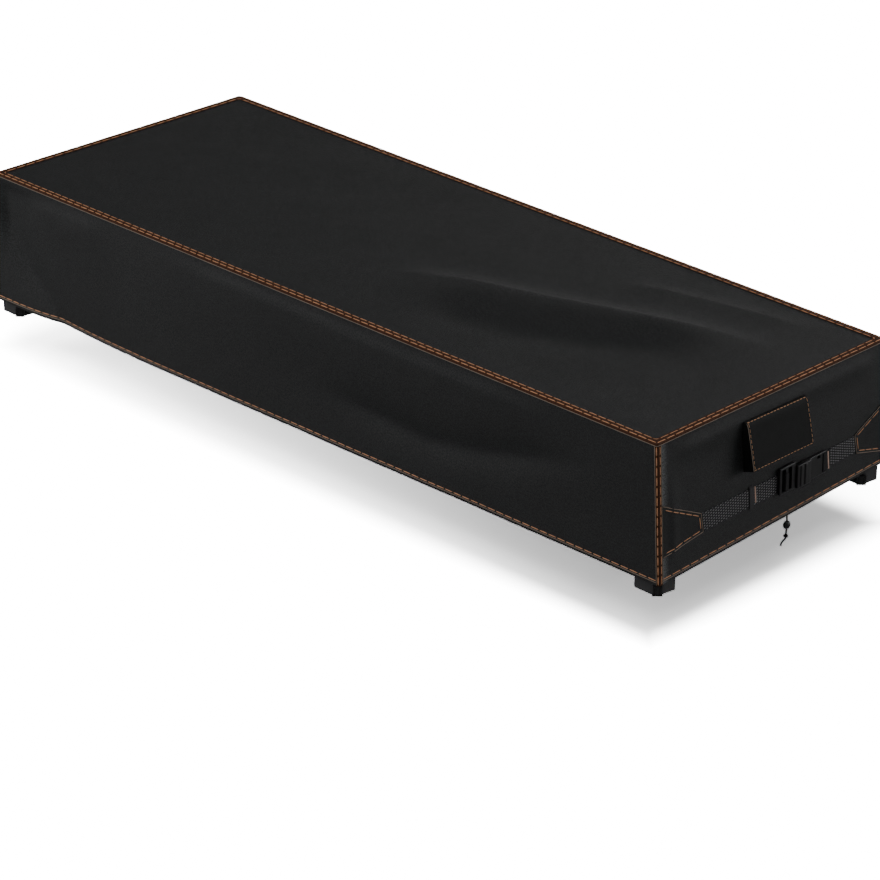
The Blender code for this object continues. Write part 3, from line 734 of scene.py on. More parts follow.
FAR_FRONT = Corner(top=(-1.053, -0.385), hem=(-1.049, -0.395, -0.320))
NEAR_FRONT = Corner(top=(1.044, -0.381), hem=(1.062, -0.378, -0.3175))
NEAR_BACK = Corner(top=(1.039, 0.373), hem=(1.038, 0.398, -0.303))
FAR_BACK = Corner(top=(-1.036, 0.396), hem=(-1.047, 0.407, -0.315))
CORNERS = (FAR_FRONT, NEAR_FRONT, NEAR_BACK, FAR_BACK)

# Lines in metres along and down (or across) from the panel's first corner.
TOP_FOLDS = (
    Fold(
        (
            (1.000, 0.235), (1.213, 0.285), (1.330, 0.322), (1.450, 0.357), (1.561, 0.400),
            (1.674, 0.440), (1.786, 0.480), (1.905, 0.530), (2.000, 0.572),
        ),
        0.0260, 0.110, 0.050, power=1.55,
    ),
    Fold(
        ((1.440, 0.575), (1.610, 0.612), (1.709, 0.636), (1.834, 0.664), (1.950, 0.690)),
        0.0085, 0.050, 0.030, power=1.3,
    ),
    Fold(
        ((1.200, 0.170), (1.327, 0.200), (1.493, 0.235), (1.609, 0.290), (1.710, 0.350),
         (1.860, 0.440)),
        -0.0110, 0.070, 0.060, ease=0.25,
    ),
)
FRONT_FOLDS = (
    Fold(
        ((-0.180, -0.130), (0.026, 0.100), (0.063, 0.153), (0.111, 0.210), (0.167, 0.262),
         (0.400, 0.500)),
        -0.0145, 0.100, 0.034, ease=0.1, power=1.25,
    ),
    Fold(
        ((1.040, 0.170), (1.126, 0.198), (1.282, 0.208), (1.435, 0.217), (1.584, 0.192),
         (1.801, 0.136), (1.950, 0.105)),
        -0.0115, 0.042, 0.036, power=1.5,
    ),
    Fold(((0.100, 0.040), (0.420, 0.040)), 0.0040, 0.016, 0.080),
    Fold(
        ((0.500, 0.042), (0.850, 0.036), (1.360, 0.040), (1.900, 0.034)), 0.0055, 0.016, 0.110,
        ease=0.25,
    ),
)
NEAR_FOLDS = (
    Fold(((0.040, 0.030), (0.300, 0.028), (0.730, 0.032)), 0.0055, 0.012, 0.030, ease=0.1),
    Fold(((0.048, 0.06), (0.048, 0.30)), 0.0030, 0.015, 0.015),
)
BACK_FOLDS = (
    Fold(((0.35, 0.05), (0.62, 0.25)), 0.006, 0.035, 0.035),
    Fold(((1.20, 0.06), (1.48, 0.24)), -0.006, 0.038, 0.038),
)
FAR_FOLDS = (
    Fold(((0.20, 0.06), (0.34, 0.24)), 0.005, 0.030, 0.030),
)


@dataclass(frozen=True)
class Panel:
    """A four-cornered panel of cloth, its folds and the small unevenness between them."""

    first: Vector
    last: Vector
    last_below: Vector
    first_below: Vector
    folds: tuple[Fold, ...]
    side_margin: float
    top_margin: float
    below_margin: float
    seed: float
    ripple: float = 1.0

    @functools.cached_property
    def length(self) -> float:
        """Length of its upper edge."""
        return (self.last - self.first).length

    @functools.cached_property
    def height(self) -> float:
        """Mean height of its two ends."""
        return ((self.first_below - self.first).length + (self.last_below - self.last).length) / 2

    @functools.cached_property
    def outward(self) -> Vector:
        """Direction in which its outer face looks."""
        up = self.first - self.first_below + self.last - self.last_below
        return (self.last - self.first).cross(up).normalized()

    def fade(self, along: float, down: float) -> float:
        """Keep the taped edges straight: 0 at the edge and 1 away from it.

        Args:
            along: distance along the upper edge.
            down: distance below it.

        Returns:
            The factor on folds and waves.
        """
        side = self.side_margin + TAPE_CLEAR
        factor = smooth_step((along - side) / EDGE_FADE)
        factor *= smooth_step((self.length - along - side) / EDGE_FADE)
        factor *= smooth_step((down - self.top_margin - TAPE_CLEAR) / EDGE_FADE)
        if self.below_margin:
            below = self.below_margin + TAPE_CLEAR
            factor *= smooth_step((self.height - down - below) / EDGE_FADE)
        return factor

    def unevenness(self, along: float, down: float) -> float:
        """Small waves of the hung cloth."""
        spot = Vector((along, down, self.seed))
        return self.ripple * sum(size * noise.noise(spot * rate) for size, rate in WAVES)

    def bump(self, along: float, down: float, rippled: bool) -> float:
        """Height of folds and waves over the flat panel."""
        spot = Vector((along, down))
        height = sum(fold.height_at(spot) for fold in self.folds)
        return height + (self.unevenness(along, down) if rippled else 0.0)

    def point(self, along: float, down: float, lift: float = 0.0, rippled: bool = True) -> Vector:
        """Place on the outer face.

        Args:
            along: distance from the first corner along the upper edge.
            down: distance below the upper edge.
            lift: distance off the face.
            rippled: False leaves the small waves out, under a stiff piece.

        Returns:
            The place.
        """
        u = along / self.length
        v = down / self.height
        above = self.first.lerp(self.last, u)
        below = self.first_below.lerp(self.last_below, u)
        height = self.bump(along, down, rippled) * self.fade(along, down)
        return above.lerp(below, v) + self.outward * (height + lift)


@dataclass(frozen=True)
class TopPanel(Panel):
    """The top, counted along its front edge from the far end, and across from that edge."""

    def point(self, along: float, down: float, lift: float = 0.0, rippled: bool = True) -> Vector:
        """Place on the upper face, with down counted across from the front edge."""
        u = along / self.length
        front = self.first_below.lerp(self.last_below, u)
        back = self.first.lerp(self.last, u)
        height = self.bump(along, down, rippled) * self.fade(along, self.height - down)
        return front.lerp(back, down / self.height) + Vector((0.0, 0.0, height + lift))


def wall(
    first: Corner, last: Corner, folds: tuple[Fold, ...], leg: float, seed: float, ripple: float,
) -> Panel:
    """A wall of the cover, from one corner to the next, counterclockwise from above."""
    return Panel(
        first.top_point, last.top_point, last.hem_point, first.hem_point,
        folds, leg, TOP_TAPE_DROP, 0.0, seed, ripple,
    )


FRONT = wall(FAR_FRONT, NEAR_FRONT, FRONT_FOLDS, SIDE_TAPE_LEG, 2.0, 1.0)
NEAR_END = wall(NEAR_FRONT, NEAR_BACK, NEAR_FOLDS, END_TAPE_LEG, 5.0, 0.3)
BACK = wall(NEAR_BACK, FAR_BACK, BACK_FOLDS, SIDE_TAPE_LEG, 8.0, 1.0)
FAR_END = wall(FAR_BACK, FAR_FRONT, FAR_FOLDS, END_TAPE_LEG, 11.0, 1.0)
WALLS = (FRONT, NEAR_END, BACK, FAR_END)
TOP = TopPanel(
    FAR_BACK.top_point, NEAR_BACK.top_point, NEAR_FRONT.top_point, FAR_FRONT.top_point,
    TOP_FOLDS, TOP_TAPE_WIDTH, TOP_TAPE_WIDTH, TOP_TAPE_WIDTH, 14.0,
)


def grid_sheet(
    place: Place, across: Sequence[float], down: Sequence[float], closed: bool = False,
) -> bmesh.types.BMesh:
    """A grid laid through places on a surface, with its cut in metres as its UV map.

    Args:
        place: gives the place for a value of across and one of down.
        across: values for the columns.
        down: values for the rows.
        closed: merge the edges that meet.

    Returns:
        The mesh data, with faces to the outside where down runs down.
    """
    sheet = bmesh.new()
    cut = sheet.loops.layers.uv.new("cut")
    columns = len(across) - 1
    rows = len(down) - 1
    bmesh.ops.create_grid(sheet, x_segments=columns, y_segments=rows, size=0.5)
    for vertex in sheet.verts:
        column = across[round((vertex.co.x + 0.5) * columns)]
        row = down[round((0.5 - vertex.co.y) * rows)]
        for loop in vertex.link_loops:
            loop[cut].uv = (column, row)
        vertex.co = place(column, row)
    if closed:
        bmesh.ops.remove_doubles(sheet, verts=sheet.verts, dist=MERGE)
    return sheet


def scale_cut(sheet: bmesh.types.BMesh, along: float, across: float) -> None:
    """Bring a sheet's UV map to metres."""
    cut = sheet.loops.layers.uv.active
    for face in sheet.faces:
        for loop in face.loops:
            loop[cut].uv = (loop[cut].uv.x * along, loop[cut].uv.y * across)


def new_object(name: str, data: bpy.types.ID) -> bpy.types.Object:
    """An object in the scene."""
    thing = bpy.data.objects.new(name, data)
    bpy.context.scene.collection.objects.link(thing)
    return thing


def new_piece(name: str, mesh_data: bmesh.types.BMesh) -> bpy.types.Object:
    """An object at the origin from mesh data, which is freed."""
    mesh = bpy.data.meshes.new(name)
    mesh_data.to_mesh(mesh)
    mesh_data.free()
    return new_object(name, mesh)


def thicken(piece: bpy.types.Object, thickness: float, offset: float = -1.0) -> None:
    """Give a sheet its thickness, away from its outer face."""
    solid = piece.modifiers.new("Thickness", "SOLIDIFY")
    solid.thickness = thickness
    solid.offset = offset
    solid.use_even_offset = True


def round_edges(piece: bpy.types.Object, width: float, segments: int, angle: float) -> None:
    """Round the edges that turn more than angle degrees."""
    rounding = piece.modifiers.new("Rounding", "BEVEL")
    rounding.width = width
    rounding.segments = segments
    rounding.limit_method = "ANGLE"
    rounding.angle_limit = math.radians(angle)


def settle(piece: bpy.types.Object, sharp: float = 42.0) -> bpy.types.Object:
    """Apply a piece's modifiers and shade it smooth between edges sharper than sharp degrees.

    Args:
        piece: the piece.
        sharp: angle in degrees.

    Returns:
        The piece.
    """
    graph = bpy.context.evaluated_depsgraph_get()
    mesh = bpy.data.meshes.new_from_object(piece.evaluated_get(graph))
    piece.modifiers.clear()
    rough = piece.data
    piece.data = mesh
    bpy.data.meshes.remove(rough)
    mesh.shade_smooth()
    mesh.set_sharp_from_angle(angle=math.radians(sharp))
    return piece


def dress(
    piece: bpy.types.Object, finish: object, slot: Slot, *nodes: str,
) -> bpy.types.Object:
    """Give a piece its material, its body and the solids that it stands for.

    Args:
        piece: the finished piece.
        finish: an object with a material method.
        slot: the record's slot for it; not used.
        nodes: CAD nodes that it replaces.

    Returns:
        The piece.
    """
    piece.data.materials.clear()
    piece.data.materials.append(finish.material())
    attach(piece, BODY)
    if nodes:
        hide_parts(*nodes)
    LOG.info("%s: %d faces", piece.name, len(piece.data.polygons))
    return piece


# ---------------------------------------------------------------- topstitching


@dataclass(frozen=True)
class StitchRow:
    """A run of topstitching: its line on a surface and the spacing of its stitches."""

    line: Line
    start: float
    finish: float
    pitch: float
    share: float = 0.90
    width: float = 0.0026
    height: float = 0.0011
    bluntness: float = 0.5
    dip: float = 0.45
    rise: float = 0.35

    def sew(self, thread: bmesh.types.BMesh) -> None:
        """Add each stitch as a low-poly capsule that dips into the cloth at its ends.

        Args:
            thread: the mesh data that takes them.
        """
        cut = thread.loops.layers.uv.verify()
        count = max(1, round((self.finish - self.start) / self.pitch))
        step = (self.finish - self.start) / count
        half = step * self.share / 2
        for index in range(count):
            middle = self.start + step * (index + 0.5)
            ball = bmesh.ops.create_uvsphere(thread, u_segments=6, v_segments=6, radius=1.0)
            for vertex in ball["verts"]:
                side, up, reach = vertex.co
                along = middle + half * math.copysign(abs(reach) ** self.bluntness, reach)
                across = side * self.width / 2
                for loop in vertex.link_loops:
                    loop[cut].uv = (along, across)
                dip = abs(reach) ** 4 * self.height * self.dip
                vertex.co = self.line(along, across, (up + self.rise) * self.height / 2 - dip)


def add_stitching(
    name: str, rows: Sequence[StitchRow], finish: StrandFinish, slot: Slot = Slot.TAPE,
) -> bpy.types.Object:
    """Sew rows as one piece of thread.

    Args:
        name: the piece's name.
        rows: the rows.
        finish: the thread.
        slot: the record's slot.

    Returns:
        The piece.
    """
    thread = bmesh.new()
    for row in rows:
        row.sew(thread)
    bmesh.ops.recalc_face_normals(thread, faces=thread.faces)
    piece = new_piece(name, thread)
    piece.data.shade_smooth()
    return dress(piece, finish, slot)


@dataclass(frozen=True)
class EdgeLine:
    """The thin light thread that edges a taped or turned seam."""

    line: Line
    start: float
    finish: float
    width: float = 0.0018
    height: float = 0.0009
    step: float = 0.02

    def lay(self, thread: bmesh.types.BMesh) -> None:
        """Add the thread as a flattened tube.

        Args:
            thread: the mesh data that takes it.
        """
        cut = thread.loops.layers.uv.verify()
        count = max(2, math.ceil((self.finish - self.start) / self.step))
        rod = bmesh.ops.create_grid(thread, x_segments=6, y_segments=count, size=0.5)
        for vertex in rod["verts"]:
            turn = 2 * math.pi * (vertex.co.x + 0.5)
            along = lerp(self.start, self.finish, 0.5 - vertex.co.y)
            across = self.width / 2 * math.cos(turn)
            for loop in vertex.link_loops:
                loop[cut].uv = (along, across)
            vertex.co = self.line(along, across, self.height / 2 * (math.sin(turn) + 0.3))
        bmesh.ops.remove_doubles(thread, verts=rod["verts"], dist=MERGE)


def add_edging(name: str, lines: Sequence[EdgeLine]) -> bpy.types.Object:
    """Lay edge threads as one piece.

    Args:
        name: the piece's name.
        lines: where the threads lie.

    Returns:
        The piece.
    """
    thread = bmesh.new()
    for line in lines:
        line.lay(thread)
    loose = [edge for edge in thread.edges if edge.is_boundary]
    bmesh.ops.holes_fill(thread, edges=loose, sides=8)
    bmesh.ops.recalc_face_normals(thread, faces=thread.faces)
    piece = new_piece(name, thread)
    piece.data.shade_smooth()
    return dress(piece, EDGE_THREAD, Slot.TAPE)


# ---------------------------------------------------------------- cloth body


@dataclass(frozen=True)
class ClothBody:
    """The five sewn panels, with the turned hem round the four walls."""

    cell: float = 0.010
    hem_row_rise: float = 0.0112
    hem_line_rise: float = 0.0072
    hem_pitch: float = 0.025
    end_hem_pitch: float = 0.029
    groove_width: float = 0.0022
    groove_depths: tuple[float, float] = (0.00035, 0.00025)
    roll_rise: float = 0.0055
    roll_width: float = 0.0045
    roll_height: float = 0.0005
    edge_end: float = 0.001

    def build(self) -> None:
        """Make the panels and the hem's stitches."""
        self.build_top()
        walls = (
            ("front", FRONT, "side_panel_front", self.hem_pitch),
            ("back", BACK, "side_panel_back", self.hem_pitch),
            ("near", NEAR_END, "end_panel_vented", self.end_hem_pitch),
            ("far", FAR_END, "end_panel_far", self.end_hem_pitch),
        )
        for name, panel, node, pitch in walls:
            self.build_wall(f"cloth_{name}", panel, node)
            self.sew_hem(name, panel, pitch)

    def stops(self, inset: float, length: float, margin: float) -> list[float]:
        """Grid lines across a panel, close together where the folds die out."""
        clear = margin + TAPE_CLEAR
        inner = spaced(clear, length - clear, round((length - 2 * clear) / self.cell))
        return [inset, lerp(inset, clear, 0.5), *inner, lerp(length - inset, length - clear, 0.5),
                length - inset]

    def build_top(self) -> None:
        """The top panel."""
        along = self.stops(TOP_INSET, TOP.length, TOP_TAPE_WIDTH)
        across = self.stops(TOP_INSET, TOP.height, TOP_TAPE_WIDTH)
        across.reverse()
        piece = new_piece("cloth_top", grid_sheet(TOP.point, along, across))
        thicken(piece, CLOTH)
        dress(settle(piece), COATED_CLOTH, Slot.CLOTH, "top_panel")
        TOP.height
        TOP.length

    def hem_lift(self, rise: float, along: float) -> float:
        """How the turned hem stands out and is drawn in along its stitches."""
        groove = math.exp(-((rise - self.hem_row_rise) / self.groove_width) ** 2)
        roll = math.exp(-((rise - self.roll_rise) / self.roll_width) ** 2)
        pull = 0.5 + 0.5 * math.cos(2 * math.pi * along / self.hem_pitch)
        even, drawn = self.groove_depths
        return self.roll_height * roll - (even + drawn * pull) * groove

    def build_wall(self, name: str, panel: Panel, node: str) -> None:
        """One wall with its thicker folded hem.

        Args:
            name: the piece's name.
            panel: its shape.
            node: its solid.
        """
        inset = END_INSET if panel.side_margin == END_TAPE_LEG else 0.0
        across = self.stops(inset, panel.length, panel.side_margin)
        body = panel.height - HEM_WIDTH
        start = panel.top_margin + TAPE_CLEAR
        down = [0.0, start / 2, *spaced(start, body, round((body - start) / self.cell))]
        down += spaced(body + HEM_STEP, panel.height, 12)

        def place(along: float, fall: float) -> Vector:
            """Place on the wall, with its turned hem."""
            return panel.point(along, fall, self.hem_lift(panel.height - fall, along))

        sheet = grid_sheet(place, across, down)
        weights = sheet.verts.layers.deform.verify()
        for vertex in sheet.verts:
            row = vertex.link_loops[0][sheet.loops.layers.uv.active].uv.y
            if row > body + HEM_STEP / 2:
                vertex[weights][0] = 1.0
        piece = new_piece(name, sheet)
        piece.vertex_groups.new(name="hem")
        thicken(piece, HEM_THICKNESS)
        solid = piece.modifiers["Thickness"]
        solid.vertex_group = "hem"
        solid.thickness_vertex_group = CLOTH / HEM_THICKNESS
        solid.use_even_offset = False
        # The vented end gets the cloth with the painted sheen strip beside its first corner.
        finish = END_CLOTH if panel is NEAR_END else COATED_CLOTH
        dress(settle(piece), finish, Slot.CLOTH, node)
        panel.height
        panel.length

    def sew_hem(self, name: str, panel: Panel, pitch: float) -> None:
        """The hem's stitches and the thread along its turned edge.

        Args:
            name: the wall's name.
            panel: its shape.
            pitch: of the stitches.
        """

        def line(rise: float) -> Line:
            """The line at a rise above the hem's lower edge."""
            def place(along: float, across: float, lift: float) -> Vector:
                """Place beside the line."""
                height = rise - across
                raised = self.hem_lift(height, along) + lift
                return panel.point(along, panel.height - height, raised)
            return place

        margin = panel.side_margin
        row = StitchRow(line(self.hem_row_rise), margin, panel.length - margin, pitch)
        add_stitching(f"stitches_hem_{name}", [row], STITCH_THREAD)
        edge = EdgeLine(line(self.hem_line_rise), self.edge_end, panel.length - self.edge_end)
        add_edging(f"edging_hem_{name}", [edge])


# ---------------------------------------------------------------- seam tapes


@dataclass(frozen=True)
class SeamTapes:
    """The tape round the top's edge and the four corner tapes, with their double topstitching."""

    outer_row: float = 0.0040
    inner_row: float = 0.0145
    long_shift: float = 0.0018
    corner_turn: float = 0.0110
    corner_radius: float = 0.0060
    fold_radius: float = 0.0040
    long_pitch: float = 0.025
    end_pitch: float = 0.029
    corner_pitch: float = 0.022
    end_row: float = 0.0078
    side_row: float = 0.0010
    puff: float = 0.0005
    row_end: float = 0.001
    edge_inset: float = 0.0008
    insets: tuple[float, ...] = (
        TOP_TAPE_WIDTH, 0.0165, 0.0145, 0.0135, 0.0115, 0.0090, 0.0065, 0.0050, 0.0040, 0.0025,
        0.0010,
    )
    section_cut: tuple[float, float] = (1.43, 0.0021)

    @property
    def upper(self) -> float:
        """Height of the top tape's upper face."""
        return TOP_FACE + SEAM_GAP + TAPE

    def build(self) -> None:
        """Make the tapes and sew them."""
        self.build_top_tape()
        self.sew_top_tape()
        corners = (
            ("near_front", FRONT, NEAR_END),
            ("near_back", NEAR_END, BACK),
            ("far_back", BACK, FAR_END),
            ("far_front", FAR_END, FRONT),
        )
        for name, before, after in corners:
            self.build_corner_tape(name, before, after)
            self.sew_corner_tape(name, before, after)

    @staticmethod
    def ring_corner(corner: Corner, outset: float, height: float) -> Vector:
        """Point on a corner's line at a height, moved out from both of its walls."""
        fall = (TOP_FACE - min(height, TOP_FACE)) / (TOP_FACE - corner.hem[2])
        place = corner.top_point.lerp(corner.hem_point, fall)
        side_x = math.copysign(1.0, corner.top[0])
        side_y = math.copysign(1.0, corner.top[1])
        return Vector((place.x + side_x * outset, place.y + side_y * outset, height))

    def ring_point(self, turn: float, outset: float, height: float) -> Vector:
        """Point of the top's edge: turn counts its rounded corners, from the far front one.

        Args:
            turn: corners passed.
            outset: distance out from the walls.
            height: its height.

        Returns:
            The point.
        """
        index = round(turn)
        corner = self.ring_corner(CORNERS[index % 4], outset, height)
        before = self.ring_corner(CORNERS[(index - 1) % 4], outset, height)
        after = self.ring_corner(CORNERS[(index + 1) % 4], outset, height)
        toward = after if turn > index else before
        away = (toward - corner).length * abs(turn - index)
        if away >= self.corner_radius:
            return corner.lerp(toward, abs(turn - index))
        share = 0.5 + 0.5 * math.copysign(away, turn - index) / self.corner_radius
        start = corner + (before - corner).normalized() * self.corner_radius
        end = corner + (after - corner).normalized() * self.corner_radius
        return start.lerp(corner, share).lerp(corner.lerp(end, share), share)

    def ring_stops(self) -> list[float]:
        """Turns at which the ring is cut: close together round each corner.

        Returns:
            The turns.
        """
        stops = [0.0]
        for index, panel in enumerate(WALLS):
            bend = self.corner_radius / panel.length
            shares = [*spaced(0.0, bend, 4), *spaced(bend, 1.0 - bend, 30)[1:-1],
                      *spaced(1.0 - bend, 1.0, 4)]
            stops += [index + share for share in shares[1:]]
        return stops

    def top_lift(self, inset: float) -> float:
        """Height of the padded seam between and beside its stitch rows."""
        between = (inset - self.outer_row) / (self.inner_row - self.outer_row)
        if 0.0 < between < 1.0:
            return self.puff * math.sin(math.pi * between) ** 0.6
        return 0.0

    def build_top_tape(self) -> None:
        """The tape round the top: it lies on the top panel and turns down its edge."""
        out = SEAM_GAP + TAPE
        section = [(-inset, self.upper + self.top_lift(inset)) for inset in self.insets]
        section += [(out, self.upper), (out, TOP_FACE - 0.002), (out, TOP_FACE - TOP_TAPE_DROP)]

        def place(turn: float, stop: float) -> Vector:
            """Place on the tape's section, round the ring."""
            return self.ring_point(turn, *section[round(stop)])

        sheet = grid_sheet(place, self.ring_stops(), range(len(section)), closed=True)
        scale_cut(sheet, *self.section_cut)
        piece = new_piece("tape_top_edge", sheet)
        round_edges(piece, 0.0012, 3, 60)
        thicken(piece, TAPE)
        dress(settle(piece), TAPE_FINISH, Slot.TAPE, "top_edge_tape")
        around = 2 * (TOP.length + TOP.height)

    def side_line(self, index: int, inset: float) -> tuple[Line, float]:
        """A line along one side of the top, inset from the edge, and its length.

        Args:
            index: the side.
            inset: distance in from the edge.

        Returns:
            The line and its length.
        """
        first = self.ring_corner(CORNERS[index], -inset, self.upper)
        last = self.ring_corner(CORNERS[(index + 1) % 4], -inset, self.upper)
        run = (last - first).normalized()
        inward = Vector((0.0, 0.0, 1.0)).cross(run)

        def place(along: float, across: float, lift: float) -> Vector:
            """Place beside the line."""
            spot = first + run * along + inward * across
            return spot + Vector((0.0, 0.0, lift + self.top_lift(inset + across)))

        return place, (last - first).length

    def corner_stitch(self, index: int) -> StitchRow:
        """The short stitch that rounds the inner row at one corner.

        Args:
            index: the corner.

        Returns:
            The row, of one stitch.
        """
        apex = self.ring_corner(CORNERS[index], -self.inner_row, self.upper)
        before = self.ring_corner(CORNERS[index - 1], -self.inner_row, self.upper)
        after = self.ring_corner(CORNERS[(index + 1) % 4], -self.inner_row, self.upper)
        start = apex + (before - apex).normalized() * self.corner_turn
        end = apex + (after - apex).normalized() * self.corner_turn
        length = (end - start).length

        def place(along: float, across: float, lift: float) -> Vector:
            """Place beside the stitch, which bows to the corner."""
            t = along / length
            inside = start.lerp(end, t)
            bent = inside.lerp(apex, 1.6 * t * (1.0 - t))
            sideways = (apex - inside).normalized() * -across if inside != apex else Vector()
            return bent + sideways + Vector((0.0, 0.0, lift))

        return StitchRow(place, 0.0, length, length)

    def sew_top_tape(self) -> None:
        """Both rows on all four sides, and the light thread down at the tape's edge."""
        rows = []
        edges = []
        for index in range(4):
            pitch = self.end_pitch if index % 2 else self.long_pitch
            shift = 0.0 if index % 2 else self.long_shift
            outer, length = self.side_line(index, self.outer_row + shift / 2)
            rows.append(StitchRow(outer, self.row_end, length - self.row_end, pitch))
            inner, length = self.side_line(index, self.inner_row + shift)
            turn = self.corner_turn
            rows.append(StitchRow(inner, turn, length - turn, pitch))
            rows.append(self.corner_stitch(index))
            edges.append(self.edge_thread(index))
        add_stitching("stitches_top_edge", rows, STITCH_THREAD)
        add_edging("edging_top_edge", edges)

    def edge_thread(self, index: int) -> EdgeLine:
        """The thread along the tape's lower edge on one side.

        Args:
            index: the side.

        Returns:
            The thread's line.
        """
        out = SEAM_GAP + TAPE
        level = TOP_FACE - TOP_TAPE_DROP + self.edge_inset
        length = WALLS[index].length

        def place(along: float, across: float, lift: float) -> Vector:
            """Place beside the thread."""
            return self.ring_point(index + along / length, out + lift, level - across)

        return EdgeLine(place, 0.0, length, step=0.003)

    def corner_point(
        self, before: Panel, after: Panel, reach: float, down: float, lift: float,
    ) -> Vector:
        """Place on a corner tape: reach is counted from the fold, below 0 on the first wall.

        Args:
            before: the wall before the fold.
            after: the wall past it.
            reach: distance from the fold.
            down: distance below the top.
            lift: distance off the tape.

        Returns:
            The place.
        """
        high = SEAM_GAP + TAPE + lift
        radius = self.fold_radius
        level = down * after.height / before.height
        if reach <= -radius:
            return before.point(before.length + reach, down, high)
        if reach >= radius:
            return after.point(reach, level, high)
        start = before.point(before.length - radius, down, high)
        apex = before.point(before.length, down, high) + after.outward * high
        end = after.point(radius, level, high)
        share = 0.5 + 0.5 * reach / radius
        return start.lerp(apex, share).lerp(apex.lerp(end, share), share)

    def tape_lift(self, after: Panel, reach: float) -> float:
        """Padding of a corner tape between its fold and the row on the end panel."""
        row = self.end_row if after.side_margin == END_TAPE_LEG else -self.end_row
        share = reach / row
        return self.puff * math.sin(math.pi * share) ** 0.6 if 0.0 < share < 1.0 else 0.0

    def build_corner_tape(self, name: str, before: Panel, after: Panel) -> None:
        """The tape down one corner, over the end of one wall and the start of the next.

        Args:
            name: the corner.
            before: the wall before it.
            after: the wall past it.
        """
        radius = self.fold_radius
        reaches = [*spaced(-before.side_margin, -radius, 5), *spaced(-radius, radius, 8)[1:-1],
                   *spaced(radius, after.side_margin, 5)]

        def place(reach: float, down: float) -> Vector:
            """Place on the tape."""
            lift = self.tape_lift(after, reach)
            return self.corner_point(before, after, reach, down, lift)

        down = spaced(TOP_TAPE_DROP + SEAM_GAP, before.height - self.row_end, 40)
        piece = new_piece(f"tape_corner_{name}", grid_sheet(place, reaches, down))
        thicken(piece, TAPE)
        dress(settle(piece), TAPE_FINISH, Slot.TAPE, f"corner_tape_{name}")
        before.height

    def sew_corner_tape(self, name: str, before: Panel, after: Panel) -> None:
        """Both rows down a corner and the light threads at the tape's two edges.

        Args:
            name: the corner.
            before: the wall before it.
            after: the wall past it.
        """
        turned = before.side_margin == END_TAPE_LEG
        reaches = (-self.end_row, self.side_row) if turned else (-self.side_row, self.end_row)

        def line(reach: float) -> Line:
            """The line at a distance from the fold."""
            def place(along: float, across: float, lift: float) -> Vector:
                """Place beside the line."""
                spot = reach + across
                raised = lift + self.tape_lift(after, reach)
                return self.corner_point(before, after, spot, along, raised)
            return place

        finish = before.height - 2 * self.row_end
        rows = [StitchRow(line(reach), TOP_TAPE_DROP, finish, self.corner_pitch)
                for reach in reaches]
        add_stitching(f"stitches_corner_{name}", rows, STITCH_THREAD)
        sides = (self.edge_inset - before.side_margin, after.side_margin - self.edge_inset)
        edges = [EdgeLine(line(reach), TOP_TAPE_DROP + self.row_end, finish) for reach in sides]
        add_edging(f"edging_corner_{name}", edges)


# ---------------------------------------------------------------- vent hood


